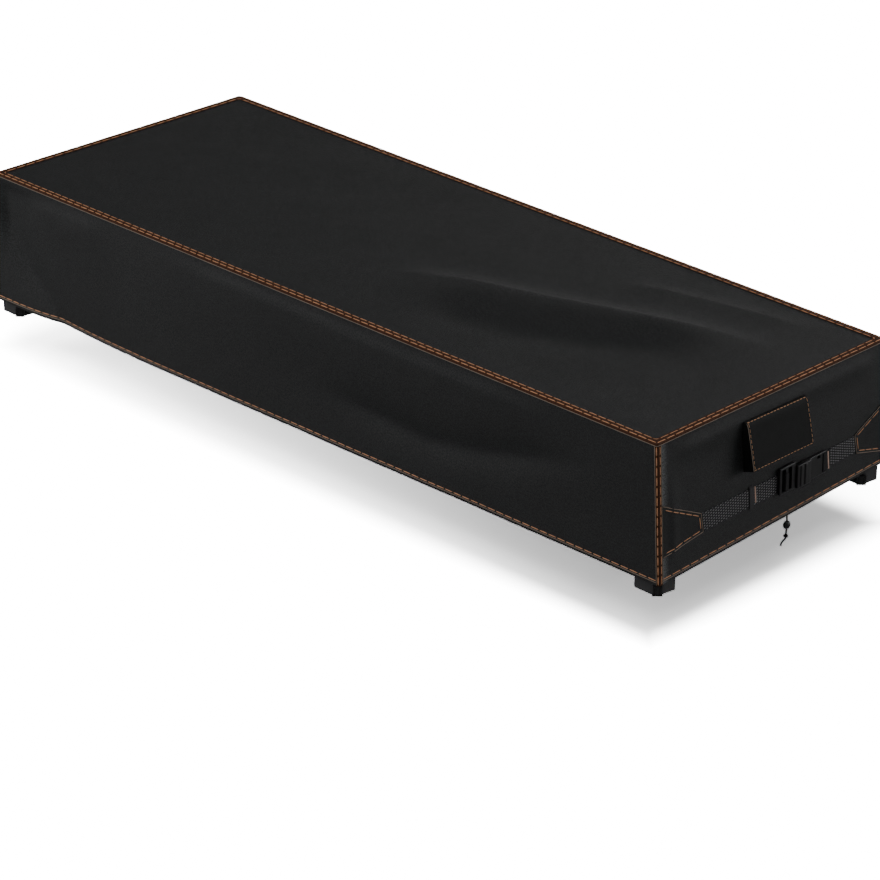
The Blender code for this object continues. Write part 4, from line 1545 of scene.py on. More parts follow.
@dataclass(frozen=True)
class VentHood:
    """The vent hood on the near end: a face that swells out downwards between two gussets."""

    left: float = 0.268
    right: float = 0.4675
    top: float = 0.0350
    tilt: float = 0.004
    face_height: float = 0.108
    gusset_height: float = 0.119
    depth: float = 0.030
    fullness: float = 0.46
    gusset_foot: tuple[float, float] = (-0.003, 0.005)
    cloth: float = 0.0015
    pitch: float = 0.011
    row_inset: float = 0.0020
    top_inset: float = 0.0024
    slack: float = 0.0012
    cut_width: float = 0.199
    left_inset: float = 0.0055
    edge_inset: float = 0.0012
    edge_start: float = 0.004

    def face_point(self, across: float, fall: float, lift: float = 0.0) -> Vector:
        """Place on the face: across and fall run from 0 to 1."""
        along = lerp(self.left, self.right, across)
        down = self.top + self.tilt * across + self.face_height * fall
        slack = self.slack * math.sin(math.pi * across) * math.sin(math.pi * fall)
        high = self.cloth + SEAM_GAP + self.depth * max(fall, 0.0) ** self.fullness - slack
        return NEAR_END.point(along, down, high + lift, rippled=False)

    def place(self, side: float, fall: float) -> Vector:
        """Place on gusset, face or gusset: side runs 0 to 1, 1 to 2 and 2 to 3.

        Args:
            side: how far round.
            fall: 0 at the upper edge.

        Returns:
            The place.
        """
        if 1.0 <= side <= 2.0:
            return self.face_point(side - 1.0, fall)
        left = side < 1.0
        edge = self.face_point(0.0 if left else 1.0, fall)
        along = self.left + lerp(*self.gusset_foot, fall) if left else self.right
        down = self.top + (0.0 if left else self.tilt) + self.gusset_height * fall
        foot = NEAR_END.point(along, down, SEAM_GAP)
        return foot.lerp(edge, side if left else 3.0 - side)

    def build(self) -> None:
        """Make the hood, its stitches and the thread along its lower edge."""
        sides = [*spaced(0.0, 0.9, 6), *spaced(1.0, 2.0, 30), *spaced(2.1, 3.0, 6)]
        falls = [0.0, 0.005, 0.02, 0.045, 0.08, 0.13, *spaced(0.19, 0.96, 16), 1.0]
        sheet = grid_sheet(self.place, sides, falls)
        scale_cut(sheet, self.cut_width, self.face_height)
        piece = new_piece("hood_vent", sheet)
        round_edges(piece, 0.0016, 3, 45)
        thicken(piece, self.cloth)
        dress(settle(piece), HOOD_FINISH, Slot.PATCH, "vent_hood")
        self.sew()

    def sew(self) -> None:
        """A fine row along each edge of the face, and an edge thread on its left."""
        width = self.right - self.left
        height = self.face_height

        def level(fall: float) -> Line:
            """A line across the face."""
            def place(along: float, across: float, lift: float) -> Vector:
                """Place beside the line."""
                return self.face_point(along / width, fall + across / height, lift)
            return place

        def upright(side: float) -> Line:
            """A line down the face."""
            def place(along: float, across: float, lift: float) -> Vector:
                """Place beside the line."""
                return self.face_point(side + across / width, along / height, lift)
            return place

        inset = self.row_inset
        size = {"pitch": self.pitch, "share": 0.76, "width": 0.0016, "height": 0.0008}
        tall = height - inset
        top = self.top_inset
        rows = [
            StitchRow(level(top / height), inset, width - inset, **size),
            StitchRow(level(1.0 - inset / height), inset, width - inset, **size),
            StitchRow(upright(self.left_inset / width), top, tall, **size),
            StitchRow(upright(1.0 - inset / width), top, tall, **size),
        ]
        add_stitching("stitches_hood", rows, HOOD_THREAD, Slot.PATCH)
        edge = EdgeLine(
            upright(self.edge_inset / width), self.edge_start, height - 0.001, step=0.006,
        )
        add_edging("edging_hood", [edge])


# ---------------------------------------------------------------- corner patches


@dataclass(frozen=True)
class CornerPatch:
    """A reinforcing patch sewn on the near end: its corners, each along and down."""

    side: str
    upper_left: tuple[float, float]
    upper_right: tuple[float, float]
    lower_right: tuple[float, float]
    lower_left: tuple[float, float]
    cloth: float = 0.0012
    row_inset: float = 0.0075
    pitch: float = 0.026
    row_end: float = 0.001
    edge_inset: float = 0.0012
    turned_rise: float = 0.0004
    turned_share: float = 0.12

    @property
    def outline(self) -> tuple[Vector, Vector, Vector, Vector]:
        """Its corners, clockwise from the upper left."""
        corners = (self.upper_left, self.upper_right, self.lower_right, self.lower_left)
        return tuple(Vector(corner) for corner in corners)

    def inset_corner(self, index: int, inset: float) -> Vector:
        """One corner of the outline moved in from both of its edges.

        Args:
            index: the corner.
            inset: distance in.

        Returns:
            The point.
        """
        corners = self.outline
        here = corners[index]
        back = (corners[index - 1] - here).normalized()
        ahead = (corners[(index + 1) % 4] - here).normalized()
        spread = math.sin(back.angle(ahead))
        return here + (back + ahead) * (inset / spread)

    def build(self) -> None:
        """Make the patch, its stitches and its edge thread."""
        upper_left, upper_right, lower_right, lower_left = self.outline

        def place(u: float, v: float) -> Vector:
            """Place on the outer face."""
            spot = upper_left.lerp(upper_right, u).lerp(lower_left.lerp(lower_right, u), v)
            near = min(u, 1.0 - u, v, 1.0 - v)
            turned = self.turned_rise * (1.0 - smooth_step(near / self.turned_share))
            return NEAR_END.point(spot.x, spot.y, SEAM_GAP + self.cloth + turned)

        sheet = grid_sheet(place, spaced(0.0, 1.0, 24), spaced(0.0, 1.0, 20))
        wide = (upper_right - upper_left).length
        falls = ((upper_left - lower_left).length, (upper_right - lower_right).length)
        tall = sum(falls) / 2
        scale_cut(sheet, wide, tall)
        piece = new_piece(f"patch_{self.side}", sheet)
        thicken(piece, self.cloth)
        dress(settle(piece), PATCH_CLOTH_FINISH, Slot.PATCH, f"corner_patch_{self.side}")
        flat = (max(wide, (lower_right - lower_left).length), max(falls))
        self.sew()

    def edge_line(self, index: int, inset: float) -> tuple[Line, float]:
        """A line along one edge, inset from it, and its length.

        Args:
            index: the edge.
            inset: distance in.

        Returns:
            The line and its length.
        """
        start = self.inset_corner(index, inset)
        end = self.inset_corner((index + 1) % 4, inset)
        run = (end - start).normalized()
        inward = Vector((-run.y, run.x))
        high = SEAM_GAP + self.cloth + 0.0002

        def place(along: float, across: float, lift: float) -> Vector:
            """Place beside the line."""
            spot = start + run * along + inward * across
            return NEAR_END.point(spot.x, spot.y, high + lift)

        return place, (end - start).length

    def sew(self) -> None:
        """A row along each edge that isn't under the corner tape, and the thread outside it."""
        hidden = 3 if self.side == "left" else 1
        rows = []
        edges = []
        for index in range(4):
            if index == hidden:
                continue
            line, length = self.edge_line(index, self.row_inset)
            end = length - self.row_end
            rows.append(StitchRow(line, self.row_end, end, self.pitch, width=0.0024))
            line, length = self.edge_line(index, self.edge_inset)
            edges.append(EdgeLine(line, 0.0, length))
        add_stitching(f"stitches_patch_{self.side}", rows, STITCH_THREAD, Slot.PATCH)
        add_edging(f"edging_patch_{self.side}", edges)


# ---------------------------------------------------------------- buckle strap


@dataclass(frozen=True)
class Thread:
    """Webbing sewn down at one end and threaded round a bar of the buckle at the other."""

    side: str
    sewn_above: float
    sewn_below: float
    held_at: float
    turn: tuple[tuple[float, float], ...]


def block_piece(
    name: str, size: Sequence[float], centre: Sequence[float], rounding: float = 0.0,
) -> bpy.types.Object:
    """A moulded block with rounded edges, before it is cut or joined.

    Args:
        name: its name.
        size: its three sizes.
        centre: its middle.
        rounding: of its edges.

    Returns:
        The block.
    """
    block = bmesh.new()
    bmesh.ops.create_cube(block, size=1.0, matrix=Matrix.Diagonal((*size, 1.0)))
    bmesh.ops.translate(block, verts=block.verts, vec=centre)
    if rounding:
        bmesh.ops.bevel(
            block, geom=list(block.edges), offset=rounding, segments=4, profile=0.5,
            affect="EDGES", material=-1, clamp_overlap=True,
        )
    return new_piece(name, block)


def mould(
    body: bpy.types.Object, joined: Sequence[bpy.types.Object],
    cut: Sequence[bpy.types.Object], frame: Matrix, sharp: float = 32.0,
) -> None:
    """Join and cut a moulding, then stand it on its frame.

    Args:
        body: the block to start from.
        joined: pieces added to it, which are used up.
        cut: pieces taken out of it, which are used up.
        frame: where it stands.
        sharp: angle in degrees over which an edge stays sharp.
    """
    for operation, tools in (("UNION", joined), ("DIFFERENCE", cut)):
        for tool in tools:
            step = body.modifiers.new(tool.name, "BOOLEAN")
            step.operation = operation
            step.object = tool
    settle(body, sharp)
    for tool in [*joined, *cut]:
        bpy.data.objects.remove(tool, do_unlink=True)
    body.data.transform(frame)


@dataclass(frozen=True)
class BuckleStrap:
    """The webbing across the near end, its keeper, its bar tacks and its buckle."""

    down: float = 0.2184
    fall: float = 0.012
    ladder_start: float = 0.3825
    ladder_length: float = 0.054
    ladder_height: float = 0.062
    ladder_thickness: float = 0.007
    ladder_rail: float = 0.005
    ladder_slot: float = 0.013
    ladder_slots: tuple[float, float] = (-0.0145, 0.0065)
    plug_rounding: float = 0.0018
    tongue_rounding: float = 0.0008
    socket_rounding: float = 0.0020
    plate_rounding: float = 0.0012
    bar_clear: float = 0.0001
    pocket_clear: float = 0.0012
    slot_clear: float = 0.002
    plate_inset: float = 0.002
    notch_below: float = 0.008
    ladder_rise: float = 0.005
    socket_start: float = 0.4368
    block: tuple[float, float, float] = (0.046, 0.054, 0.012)
    plate_length: float = 0.064
    plate_thickness: float = 0.006
    rib_places: tuple[float, float] = (0.013, 0.028)
    rib_size: tuple[float, float, float] = (0.008, 0.048, 0.004)
    socket_slot: float = 0.0036
    slot_from_end: float = 0.0157
    notch_size: tuple[float, float] = (0.011, 0.0065)
    notch_from_end: float = 0.031
    tongue: tuple[float, float, float] = (0.026, 0.030, 0.003)
    keeper: tuple[float, float] = (0.2895, 0.3025)
    keeper_cut: float = 0.009
    keeper_side: tuple[float, float, float] = (0.0024, 0.0006, 0.0030)
    cutter: float = 0.03
    lap: float = 0.004
    laid: int = 30

    @property
    def plug_middle(self) -> float:
        """Where the plug's frame stands along the webbing."""
        return self.ladder_start + self.ladder_length / 2

    @property
    def threads(self) -> tuple[Thread, Thread]:
        """The two lengths of webbing, with their middle surfaces round the buckle's bars.

        Returns:
            The left one and the right one.
        """
        rest = WEBBING_REST
        over = BUCKLE_UNDERSIDE + self.ladder_thickness + rest + self.bar_clear
        plate_over = BUCKLE_UNDERSIDE + self.plate_thickness + rest + self.bar_clear
        left = (
            (0.3955, rest), (0.3989, 0.0016), (0.4001, 0.0040), (0.4001, 0.0088),
            (0.4006, 0.0100), (0.4019, over), (0.4091, over), (0.4104, 0.0100),
            (0.4110, 0.0088), (0.4111, 0.0028), (0.4105, 0.0013), (0.4093, rest),
            (0.4045, rest),
        )
        right = (
            (0.5345, rest), (0.5320, 0.0012), (0.5312, 0.0028), (0.5312, 0.0078),
            (0.5316, 0.0090), (0.5331, plate_over), (0.5417, plate_over), (0.5439, 0.0087),
            (0.5455, 0.0068), (0.5481, 0.0048), (0.5525, 0.0034), (0.5615, WEBBING_LAID),
        )
        return (
            Thread("left", 0.1370, 0.1420, self.plug_middle, left),
            Thread("right", 0.6455, 0.6505, self.socket_start, right),
        )

    def line_down(self, along: float, offset: float = 0.0) -> float:
        """Height of a webbing line below the top, offset from its centre line."""
        return self.down + self.fall * along + offset

    def frame_at(self, along: float) -> Matrix:
        """Flat frame under the buckle: X along the webbing, Y up and Z outward.

        Args:
            along: place along the webbing.

        Returns:
            The frame.
        """
        step = 0.02

        def spot(ahead: float, below: float) -> Vector:
            """Place on the cloth, ahead along the webbing and below its line."""
            down = self.line_down(along + ahead) + below
            return NEAR_END.point(along + ahead, down, BUCKLE_UNDERSIDE, rippled=False)

        origin = spot(0.0, 0.0)
        run = spot(step, 0.0) - origin
        out = (spot(0.0, step) - origin).cross(run).normalized()
        run.normalize()
        frame = Matrix((run, out.cross(run), out)).transposed().to_4x4()
        frame.translation = origin
        return frame

    def build(self) -> None:
        """Make webbing, keeper, bar tacks and buckle."""
        for thread in self.threads:
            self.build_webbing(thread)
        self.build_keeper()
        self.sew_tacks()
        self.build_plug()
        self.build_socket()

    def build_webbing(self, thread: Thread) -> None:
        """A length of webbing, from its slanted sewn end to its turn round a bar.

        Args:
            thread: its course.
        """
        half = WEBBING_WIDTH / 2
        frame = self.frame_at(thread.held_at)
        turn = smooth_path(thread.turn, 4)

        def place(stop: float, side: float) -> Vector:
            """Place on the webbing's middle surface."""
            index = round(stop)
            along, lift = turn[max(index - self.laid, 0)]
            spot = Vector((along - thread.held_at, -side * half, lift - BUCKLE_UNDERSIDE))
            if index >= self.laid:
                return frame @ spot
            sewn = lerp(thread.sewn_above, thread.sewn_below, (side + 1.0) / 2)
            down = self.line_down(sewn, side * half)
            end = NEAR_END.point(sewn, down, WEBBING_REST, rippled=False)
            return end.lerp(frame @ spot, index / self.laid)

        stops = list(range(self.laid + len(turn)))
        if thread.sewn_above > thread.held_at:
            stops.reverse()
        sheet = grid_sheet(place, stops, spaced(-1.0, 1.0, 8))
        self.measure(sheet, len(stops), 8)
        piece = new_piece(f"webbing_sewn_{thread.side}", sheet)
        thicken(piece, WEBBING, offset=0.0)
        round_edges(piece, 0.0004, 2, 60)
        finish = MESH_WEBBING[thread.side]
        dress(settle(piece), finish, Slot.WEBBING, f"webbing_{thread.side}")
        run = abs(turn[0].x - (thread.sewn_above + thread.sewn_below) / 2)
        run + path_length(turn)

    @staticmethod
    def measure(sheet: bmesh.types.BMesh, columns: int, rows: int) -> None:
        """Bring a strip's cut to metres: its length along its middle, and its width.

        Args:
            sheet: the strip.
            columns: its places along.
            rows: its rows.
        """
        cut = sheet.loops.layers.uv.active
        middle = {}
        for vertex in sheet.verts:
            uv = vertex.link_loops[0][cut].uv
            if abs(uv.y) < 1.5 / rows:
                middle.setdefault(round(uv.x), vertex.co.copy())
        distance = {0: 0.0}
        for index in range(1, columns):
            distance[index] = distance[index - 1] + (middle[index] - middle[index - 1]).length
        for face in sheet.faces:
            for loop in face.loops:
                index = round(loop[cut].uv.x)
                loop[cut].uv = (distance[index], loop[cut].uv.y * WEBBING_WIDTH / 2)

    def build_keeper(self) -> None:
        """The keeper that holds the webbing down, over it from one edge to the other."""
        low = SEAM_GAP + WEBBING
        high = low + SEAM_GAP + WEBBING
        beside, slope, foot = self.keeper_side
        raised = WEBBING_WIDTH / 2 + beside
        sloped = raised + slope
        reach = sloped + foot
        section = (
            (-reach, low), (-sloped, low), (-raised, high), (0.0, high + SEAM_GAP),
            (raised, high), (sloped, low), (reach, low),
        )

        def place(along: float, stop: float) -> Vector:
            """Place on the keeper's section."""
            offset, lift = section[round(stop)]
            return NEAR_END.point(along, self.line_down(along, offset), lift, rippled=False)

        sheet = grid_sheet(place, spaced(*self.keeper, 4), range(len(section)))
        scale_cut(sheet, 1.0, self.keeper_cut)
        piece = new_piece("keeper", sheet)
        round_edges(piece, 0.0006, 2, 30)
        thicken(piece, WEBBING)
        dress(settle(piece), PLAIN_WEBBING, Slot.WEBBING, "webbing_keeper")

    def tack(self, along: float, high: float, reach: tuple[float, float]) -> StitchRow:
        """A dense bar of stitches across the webbing, from one offset to another.

        Args:
            along: its place.
            high: what it is sewn on.
            reach: from and to.

        Returns:
            The row.
        """

        def place(down: float, across: float, lift: float) -> Vector:
            """Place beside the bar's line."""
            spot = along + across + 0.06 * down
            return NEAR_END.point(spot, self.line_down(spot, down), high + lift, rippled=False)

        return StitchRow(place, *reach, 0.0011, share=1.2, width=0.0052, height=0.0014)

    def sew_tacks(self) -> None:
        """The bar tacks beside the keeper and behind the socket."""
        left = self.tack(0.3095, SEAM_GAP + WEBBING, (-0.0220, 0.0170))
        add_stitching("bar_tack_left", [left], BAR_TACK_THREAD, Slot.WEBBING)
        right = self.tack(0.5525, SEAM_GAP + 2 * WEBBING + SEAM_GAP, (-0.0190, 0.0245))
        add_stitching("bar_tack_right", [right], BAR_TACK_THREAD, Slot.WEBBING)

    def build_plug(self) -> None:
        """The plug: a frame with two rimmed slots, and the tongue that goes into the socket."""
        thick = self.ladder_thickness
        size = (self.ladder_length, self.ladder_height, thick)
        rise = self.ladder_rise
        plug = block_piece("plug", size, (0.0, rise, thick / 2), self.plug_rounding)
        opening = self.ladder_height - 2 * self.ladder_rail
        slots = [
            block_piece(f"slot_{x}", (self.ladder_slot, opening, self.cutter), (x, rise, 0.0))
            for x in self.ladder_slots
        ]
        centre = (self.ladder_length / 2 + self.tongue[0] / 2 - self.lap, 0.0, thick / 2)
        tongue = block_piece("tongue", self.tongue, centre, self.tongue_rounding)
        mould(plug, [tongue], slots, self.frame_at(self.plug_middle))
        dress(plug, BLACK_PLASTIC, Slot.PLASTIC, "buckle_plug")

    def build_socket(self) -> None:
        """The socket: a ribbed block, then a flat plate with the webbing's slot and an eye."""
        long, tall, deep = self.block
        middle = (long / 2, 0.0, deep / 2)
        socket = block_piece("socket", self.block, middle, self.socket_rounding)
        ribs = [
            block_piece(f"rib_{x}", self.rib_size, (x, 0.0, deep), self.plate_rounding)
            for x in self.rib_places
        ]
        thick = self.plate_thickness
        plate = block_piece(
            "plate", (self.plate_length, tall - self.plate_inset, thick),
            (long + self.plate_length / 2 - self.lap, 0.0, thick / 2), self.plate_rounding,
        )
        clear = self.pocket_clear
        wide, high, thin = self.tongue
        pocket = block_piece(
            "pocket", (wide + clear, high + clear, thin + clear),
            (wide / 2, 0.0, self.ladder_thickness / 2),
        )
        end = long + self.plate_length
        slot = block_piece(
            "slot", (self.socket_slot, WEBBING_WIDTH + self.slot_clear, self.cutter),
            (end - self.slot_from_end, 0.0, 0.0),
        )
        notch = block_piece(
            "notch", (*self.notch_size, self.cutter),
            (end - self.notch_from_end, tall / 2 - self.notch_below, 0.0),
        )
        mould(socket, [*ribs, plate], [pocket, slot, notch], self.frame_at(self.socket_start))
        dress(socket, BLACK_PLASTIC, Slot.PLASTIC, "buckle_socket")


# ---------------------------------------------------------------- leg straps


@dataclass(frozen=True)
class LegStrap:
    """The webbing loop inside one bottom corner, which closes round a leg with a clip."""

    corner: str
    slid: float = 0.0
    length: float = 0.072
    depth: float = 0.066
    radius: float = 0.015
    webbing: float = 0.002
    height: float = 0.034
    tail: float = 0.005
    tail_inset: float = 0.008
    tail_width: float = 0.009

    @property
    def node(self) -> str:
        """Name of the solid that it follows."""
        return f"leg_strap_{self.corner}"

    def outline(self, steps: int) -> list[Vector]:
        """The loop from above, counterclockwise from the middle of its -Y side.

        Args:
            steps: pieces in each rounded corner.

        Returns:
            The closed outline.
        """
        points = [Vector((0.0, -self.depth / 2))]
        centres = ((1, -1, -90), (1, 1, 0), (-1, 1, 90), (-1, -1, 180))
        for side_x, side_y, start in centres:
            centre = Vector((
                side_x * (self.length / 2 - self.radius), side_y * (self.depth / 2 - self.radius),
            ))
            for step in range(steps + 1):
                angle = math.radians(start + 90.0 * step / steps)
                points.append(centre + self.radius * Vector((math.cos(angle), math.sin(angle))))
        points.append(points[0].copy())
        return points

    def build(self) -> None:
        """Make the loop of webbing."""
        low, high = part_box(self.node)
        centre = (low.xy + high.xy) / 2
        outline = self.outline(8)
        lower = high.z - self.height - self.slid

        def place(index: float, fall: float) -> Vector:
            """Place on the outer face."""
            spot = outline[round(index)]
            from_tail = spot.y - self.depth / 2 + self.tail_inset
            tail = self.tail * math.exp(-(from_tail / self.tail_width) ** 2)
            tail *= smooth_step(spot.x / (self.length / 2))
            level = lerp(high.z, lower - tail, fall)
            return Vector((*(spot + centre), level))

        sheet = grid_sheet(place, range(len(outline)), spaced(0.0, 1.0, 6), closed=True)
        around = path_length(outline)
        scale_cut(sheet, around / (len(outline) - 1), self.height)
        piece = new_piece(f"strap_{self.corner}", sheet)
        thicken(piece, self.webbing)
        round_edges(piece, 0.0005, 2, 60)
        dress(settle(piece), PLAIN_WEBBING, Slot.WEBBING, self.node)
        self.height + self.slid
        "cloth_front" if "front" in self.corner else "cloth_back"


# ---------------------------------------------------------------- drawcord


@dataclass(frozen=True)
class Drawcord:
    """The free end of the hem's drawcord, with its ball lock and the knot below it."""

    diameter: float = 0.0042
    route: tuple[tuple[float, float, float], ...] = (
        (1.0465, 0.0545, -0.3100),
        (1.0465, 0.0550, -0.3200),
        (1.0465, 0.0555, -0.3330),
        (1.0465, 0.0555, -0.3440),
        (1.0465, 0.0545, -0.3560),
        (1.0465, 0.0540, -0.3630),
        (1.0465, 0.0500, -0.3665),
        (1.0465, 0.0435, -0.3695),
        (1.0465, 0.0395, -0.3730),
        (1.0465, 0.0390, -0.3775),
    )
    lock_centre: tuple[float, float, float] = (1.0465, 0.0555, -0.3330)
    lock_radius: float = 0.0096
    lock_flatness: float = 0.75
    eye_radius: float = 0.0026
    eye_offset: float = 0.0042
    knot_centre: tuple[float, float, float] = (1.0465, 0.0543, -0.3590)
    knot_radius: float = 0.0040
    knot_strand: float = 0.0017
    bore_clear: float = 0.0003
    knot_climb: float = 0.0020

    def tube(
        self, name: str, path: Sequence[Vector], radius: float, sides: int,
    ) -> bpy.types.Object:
        """A closed round tube along a path, with its cut in metres.

        Args:
            name: the piece's name.
            path: its middle line.
            radius: of the tube.
            sides: of its section.

        Returns:
            The piece.
        """
        across = Vector((1.0, 0.0, 0.0))
        rings = []
        along = 0.0
        for index, point in enumerate(path):
            ahead = path[min(index + 1, len(path) - 1)] - path[max(index - 1, 0)]
            ahead.normalize()
            across = (across - ahead * across.dot(ahead)).normalized()
            if index:
                along += (point - path[index - 1]).length
            rings.append((point, across.copy(), ahead.cross(across), along))

        def place(turn: float, stop: float) -> Vector:
            """Place on the tube."""
            point, right, up, _ = rings[round(stop)]
            angle = 2 * math.pi * turn
            return point + (right * math.cos(angle) + up * math.sin(angle)) * radius

        sheet = grid_sheet(place, spaced(0.0, 1.0, sides), range(len(rings)), closed=True)
        cut = sheet.loops.layers.uv.active
        for face in sheet.faces:
            for loop in face.loops:
                turn, stop = loop[cut].uv
                loop[cut].uv = (rings[round(stop)][3], turn * 2 * math.pi * radius)
        ends = [edge for edge in sheet.edges if edge.is_boundary]
        bmesh.ops.holes_fill(sheet, edges=ends, sides=sides)
        bmesh.ops.recalc_face_normals(sheet, faces=sheet.faces)
        piece = new_piece(name, sheet)
        piece.data.shade_smooth()
        return piece

    def build(self) -> None:
        """Make the cord, its lock and its knot."""
        path = smooth_path(self.route, 4)
        cord = self.tube("cord_free_end", path, self.diameter / 2, 12)
        dress(cord, BRAIDED_CORD, Slot.CORD, "drawcord")
        lock = self.build_lock()
        knot = self.build_knot()
        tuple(self.route[0])
        round(path_length(path), 3)

    def build_lock(self) -> bpy.types.Object:
        """The ball lock, with the cord's bore down it and an eye through it.

        Returns:
            The piece.
        """
        ball = bmesh.new()
        shape = Matrix.Diagonal((self.lock_flatness, 1.0, 1.0, 1.0))
        bmesh.ops.create_uvsphere(
            ball, u_segments=40, v_segments=24, radius=self.lock_radius, matrix=shape,
        )
        lock = new_piece("lock_ball", ball)
        sideways = Matrix.Rotation(math.pi / 2, 4, "Y")
        bores = (
            (self.diameter / 2 + self.bore_clear, Matrix.Identity(4)),
            (self.eye_radius, Matrix.Translation((0.0, self.eye_offset, 0.0)) @ sideways),
        )
        tools = []
        for radius, turn in bores:
            rod = bmesh.new()
            bmesh.ops.create_cone(
                rod, cap_ends=True, segments=28, radius1=radius, radius2=radius, depth=0.03,
                matrix=turn,
            )
            tools.append(new_piece("bore", rod))
        mould(lock, [], tools, Matrix.Translation(self.lock_centre), sharp=35.0)
        return dress(lock, BLACK_PLASTIC, Slot.PLASTIC, "cord_lock")

    def build_knot(self) -> bpy.types.Object:
        """A stopper knot: the cord wound round itself and tucked in.

        Returns:
            The piece.
        """
        centre = Vector(self.knot_centre)
        path = []
        for angle in spaced(-0.4 * math.pi, 2.9 * math.pi, 64):
            climb = (angle - 1.25 * math.pi) / (1.65 * math.pi)
            reach = self.knot_radius * (1.0 - 0.45 * abs(climb) ** 3)
            path.append(centre + Vector((
                reach * math.cos(angle), reach * math.sin(angle), -self.knot_climb * climb,
            )))
        knot = self.tube("knot", path, self.knot_strand, 10)
        return dress(knot, BRAIDED_CORD, Slot.CORD, "cord_knot")


# ---------------------------------------------------------------- studio


@dataclass(frozen=True)
class SoftLight:
    """A soft light, width by height, that looks at the cover's middle from a direction."""

    name: str
    power: float
    size: tuple[float, float]
    azimuth: float
    elevation: float
    distance: float = 7.0

    def hang(self) -> None:
        """Put it in the scene."""
        away = direction(self.azimuth, self.elevation)
        light = bpy.data.lights.new(self.name, "AREA")
        light.energy = self.power
        light.shape = "RECTANGLE"
        light.size, light.size_y = self.size
        lamp = new_object(self.name, light)
        lamp.location = away * self.distance
        lamp.rotation_mode = "QUATERNION"
        lamp.rotation_quaternion = away.to_track_quat("Z", "Y")


LIGHTS = (
    SoftLight("back_left", 18.0, (5.0, 1.2), 202.0, 12.0),
    SoftLight("back_middle", 8.0, (5.0, 1.5), 224.0, 14.0),
    SoftLight("back_right", 24.0, (5.0, 1.2), 180.0, 12.0),
    SoftLight("left_low", 108.0, (4.0, 1.0), -50.0, 8.0),
    SoftLight("left_high", 62.0, (3.0, 3.0), -50.0, 25.0, 6.0),
    SoftLight("right_low", 136.0, (4.0, 1.0), 138.0, 8.0),
    SoftLight("overhead", 25.0, (6.0, 6.0), 0.0, 89.0, 6.0),
    SoftLight("front_high", 66.0, (3.0, 3.0), 20.0, 60.0, 6.0),
    SoftLight("end_high", 42.0, (3.0, 3.0), 90.0, 60.0, 6.0),
    SoftLight("front_low", 19.0, (3.0, 1.5), -10.0, 12.0),
)


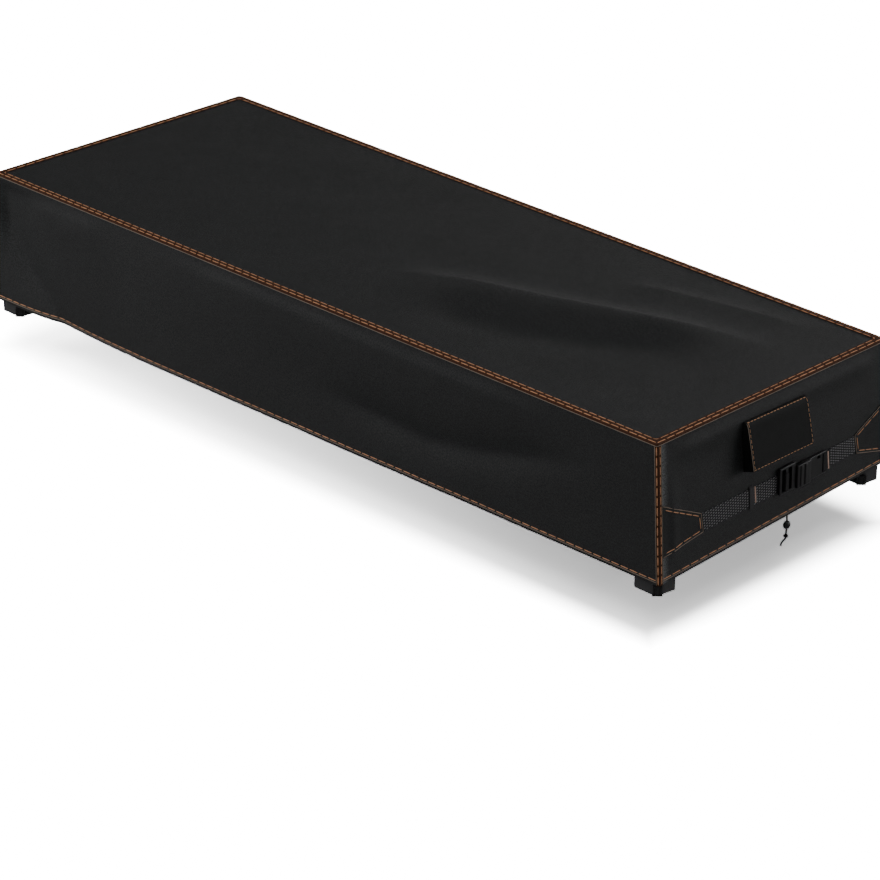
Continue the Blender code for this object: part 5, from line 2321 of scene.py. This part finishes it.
@dataclass(frozen=True)
class Studio:
    """Pale floor with a painted shade under the cover, soft lights and the camera at the picture's
    angle.
    """

    floor_level: float = -0.445
    azimuth: float = 44.06
    elevation: float = 25.58
    roll: float = 0.71
    position: tuple[float, float, float] = (5.387, -5.501, 3.2143)
    sensor: float = 36.0
    focal_pixels: float = 3666.8
    frame_pixels: float = 880.0
    floor_tone: float = 0.4
    floor_gain: float = 46.0
    # Painted shade on the floor under the cover: the camera's gains from the far end to the vented
    # end, its half size, its soft edge and its reach along X.
    painted_shade_gains: tuple[float, float] = (24.0, 5.0)
    painted_shade_half_size: tuple[float, float] = (1.05, 0.39)
    painted_shade_edge: tuple[float, float] = (-0.04, 0.07)
    painted_shade_reach: tuple[float, float] = (-1.0, 0.8)
    surround: float = 0.073

    def build(self) -> None:
        """Set up everything that isn't the cover."""
        self.add_camera()
        self.add_floor()
        self.add_lights()

    def add_camera(self) -> None:
        """The camera."""
        back = direction(self.azimuth, self.elevation)
        right = direction(self.azimuth + 90.0, 0.0)
        roll = math.radians(self.roll)
        up = back.cross(right)
        turned_right = right * math.cos(roll) + up * math.sin(roll)
        turned_up = up * math.cos(roll) - right * math.sin(roll)
        camera = new_object("camera", bpy.data.cameras.new("camera"))
        matrix = Matrix((turned_right, turned_up, back)).transposed().to_4x4()
        matrix.translation = self.position
        camera.matrix_world = matrix
        camera.data.sensor_width = self.sensor
        camera.data.lens = self.focal_pixels / self.frame_pixels * self.sensor
        camera.data.clip_end = 100.0
        bpy.context.scene.camera = camera

    def add_floor(self) -> None:
        """The floor, which the camera sees brighter than it lights the cover, with a painted shade
        under the cover.
        """
        ground = bmesh.new()
        bmesh.ops.create_grid(
            ground, x_segments=1, y_segments=1, size=30.0,
            matrix=Matrix.Translation((0.0, 0.0, self.floor_level)),
        )
        floor = new_piece("floor", ground)
        material = bpy.data.materials.new("floor")
        material.use_nodes = True
        nodes = Nodes(material.node_tree)
        nodes.tree.nodes.clear()
        seen = nodes.add("LightPath").outputs["Is Camera Ray"]
        colour = nodes.mix("RGBA", seen, (*(self.floor_tone,) * 3, 1.0), self.floor_seen(nodes))
        matte = nodes.add("BsdfDiffuse")
        nodes.feed(matte.inputs["Color"], colour)
        output = nodes.add("OutputMaterial")
        nodes.feed(output.inputs["Surface"], matte.outputs["BSDF"])
        floor.data.materials.append(material)

    def floor_seen(self, nodes: Nodes) -> bpy.types.NodeSocket:
        """How bright the camera sees the floor: blown out all round, with a painted shade under the
        cover that is darker towards the vented end.

        Args:
            nodes: the floor's nodes.

        Returns:
            The brightness.
        """
        place = nodes.axes(nodes.add("TexCoord").outputs["Object"])
        sides = [
            nodes.math("SUBTRACT", nodes.math("ABSOLUTE", place[axis]), half)
            for axis, half in zip("XY", self.painted_shade_half_size)
        ]
        beyond = nodes.math("MAXIMUM", *sides)
        clear = nodes.spread(beyond, 0.0, 1.0, *self.painted_shade_edge, "SMOOTHSTEP")
        # Painted shade under the cover, darker towards the vented end.
        painted_shade = nodes.spread(place["X"], *self.painted_shade_gains, *self.painted_shade_reach)
        return nodes.mix("FLOAT", clear, painted_shade, self.floor_gain)

    def add_lights(self) -> None:
        """The soft lights and a dim surround."""
        for light in LIGHTS:
            light.hang()
        world = bpy.data.worlds.new("surround")
        world.use_nodes = True
        background = world.node_tree.nodes["Background"]
        background.inputs["Color"].default_value = (1.0, 1.0, 1.0, 1.0)
        background.inputs["Strength"].default_value = self.surround
        bpy.context.scene.world = world


PATCH_START = END_TAPE_LEG + 0.0006
PATCH_END = NEAR_END.length - PATCH_START
PATCHES = (
    CornerPatch(
        "left",
        upper_left=(PATCH_START, 0.1375), upper_right=(0.1355, 0.1975),
        lower_right=(0.1415, 0.2430), lower_left=(PATCH_START, 0.2545),
    ),
    CornerPatch(
        "right",
        upper_left=(0.6460, 0.2030), upper_right=(PATCH_END, 0.1590),
        lower_right=(PATCH_END, 0.2790), lower_left=(0.6540, 0.2520),
    ),
)
# How far each leg strap has slid down, by its corner.
STRAPS = {"near_front": 0.0, "near_back": 0.008, "far_back": 0.0, "far_front": 0.0}


def dress_clips(nodes: dict[str, bpy.types.Object]) -> None:
    """Give the leg straps' clips their plastic."""
    for corner in STRAPS:
        clip = nodes[f"leg_strap_{corner}_clip"]
        clip.data.materials.clear()
        clip.data.materials.append(BLACK_PLASTIC.material())


def main() -> None:
    """Dress the cover in its frame."""
    logging.basicConfig(level=logging.INFO, format="%(name)s: %(message)s")
    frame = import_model()
    Studio().build()
    Drawcord().build()
    ClothBody().build()
    SeamTapes().build()
    VentHood().build()
    for patch in PATCHES:
        patch.build()
    BuckleStrap().build()
    for corner, slid in STRAPS.items():
        LegStrap(corner, slid).build()
    dress_clips(frame["nodes"])


if __name__ == "__main__":
    main()
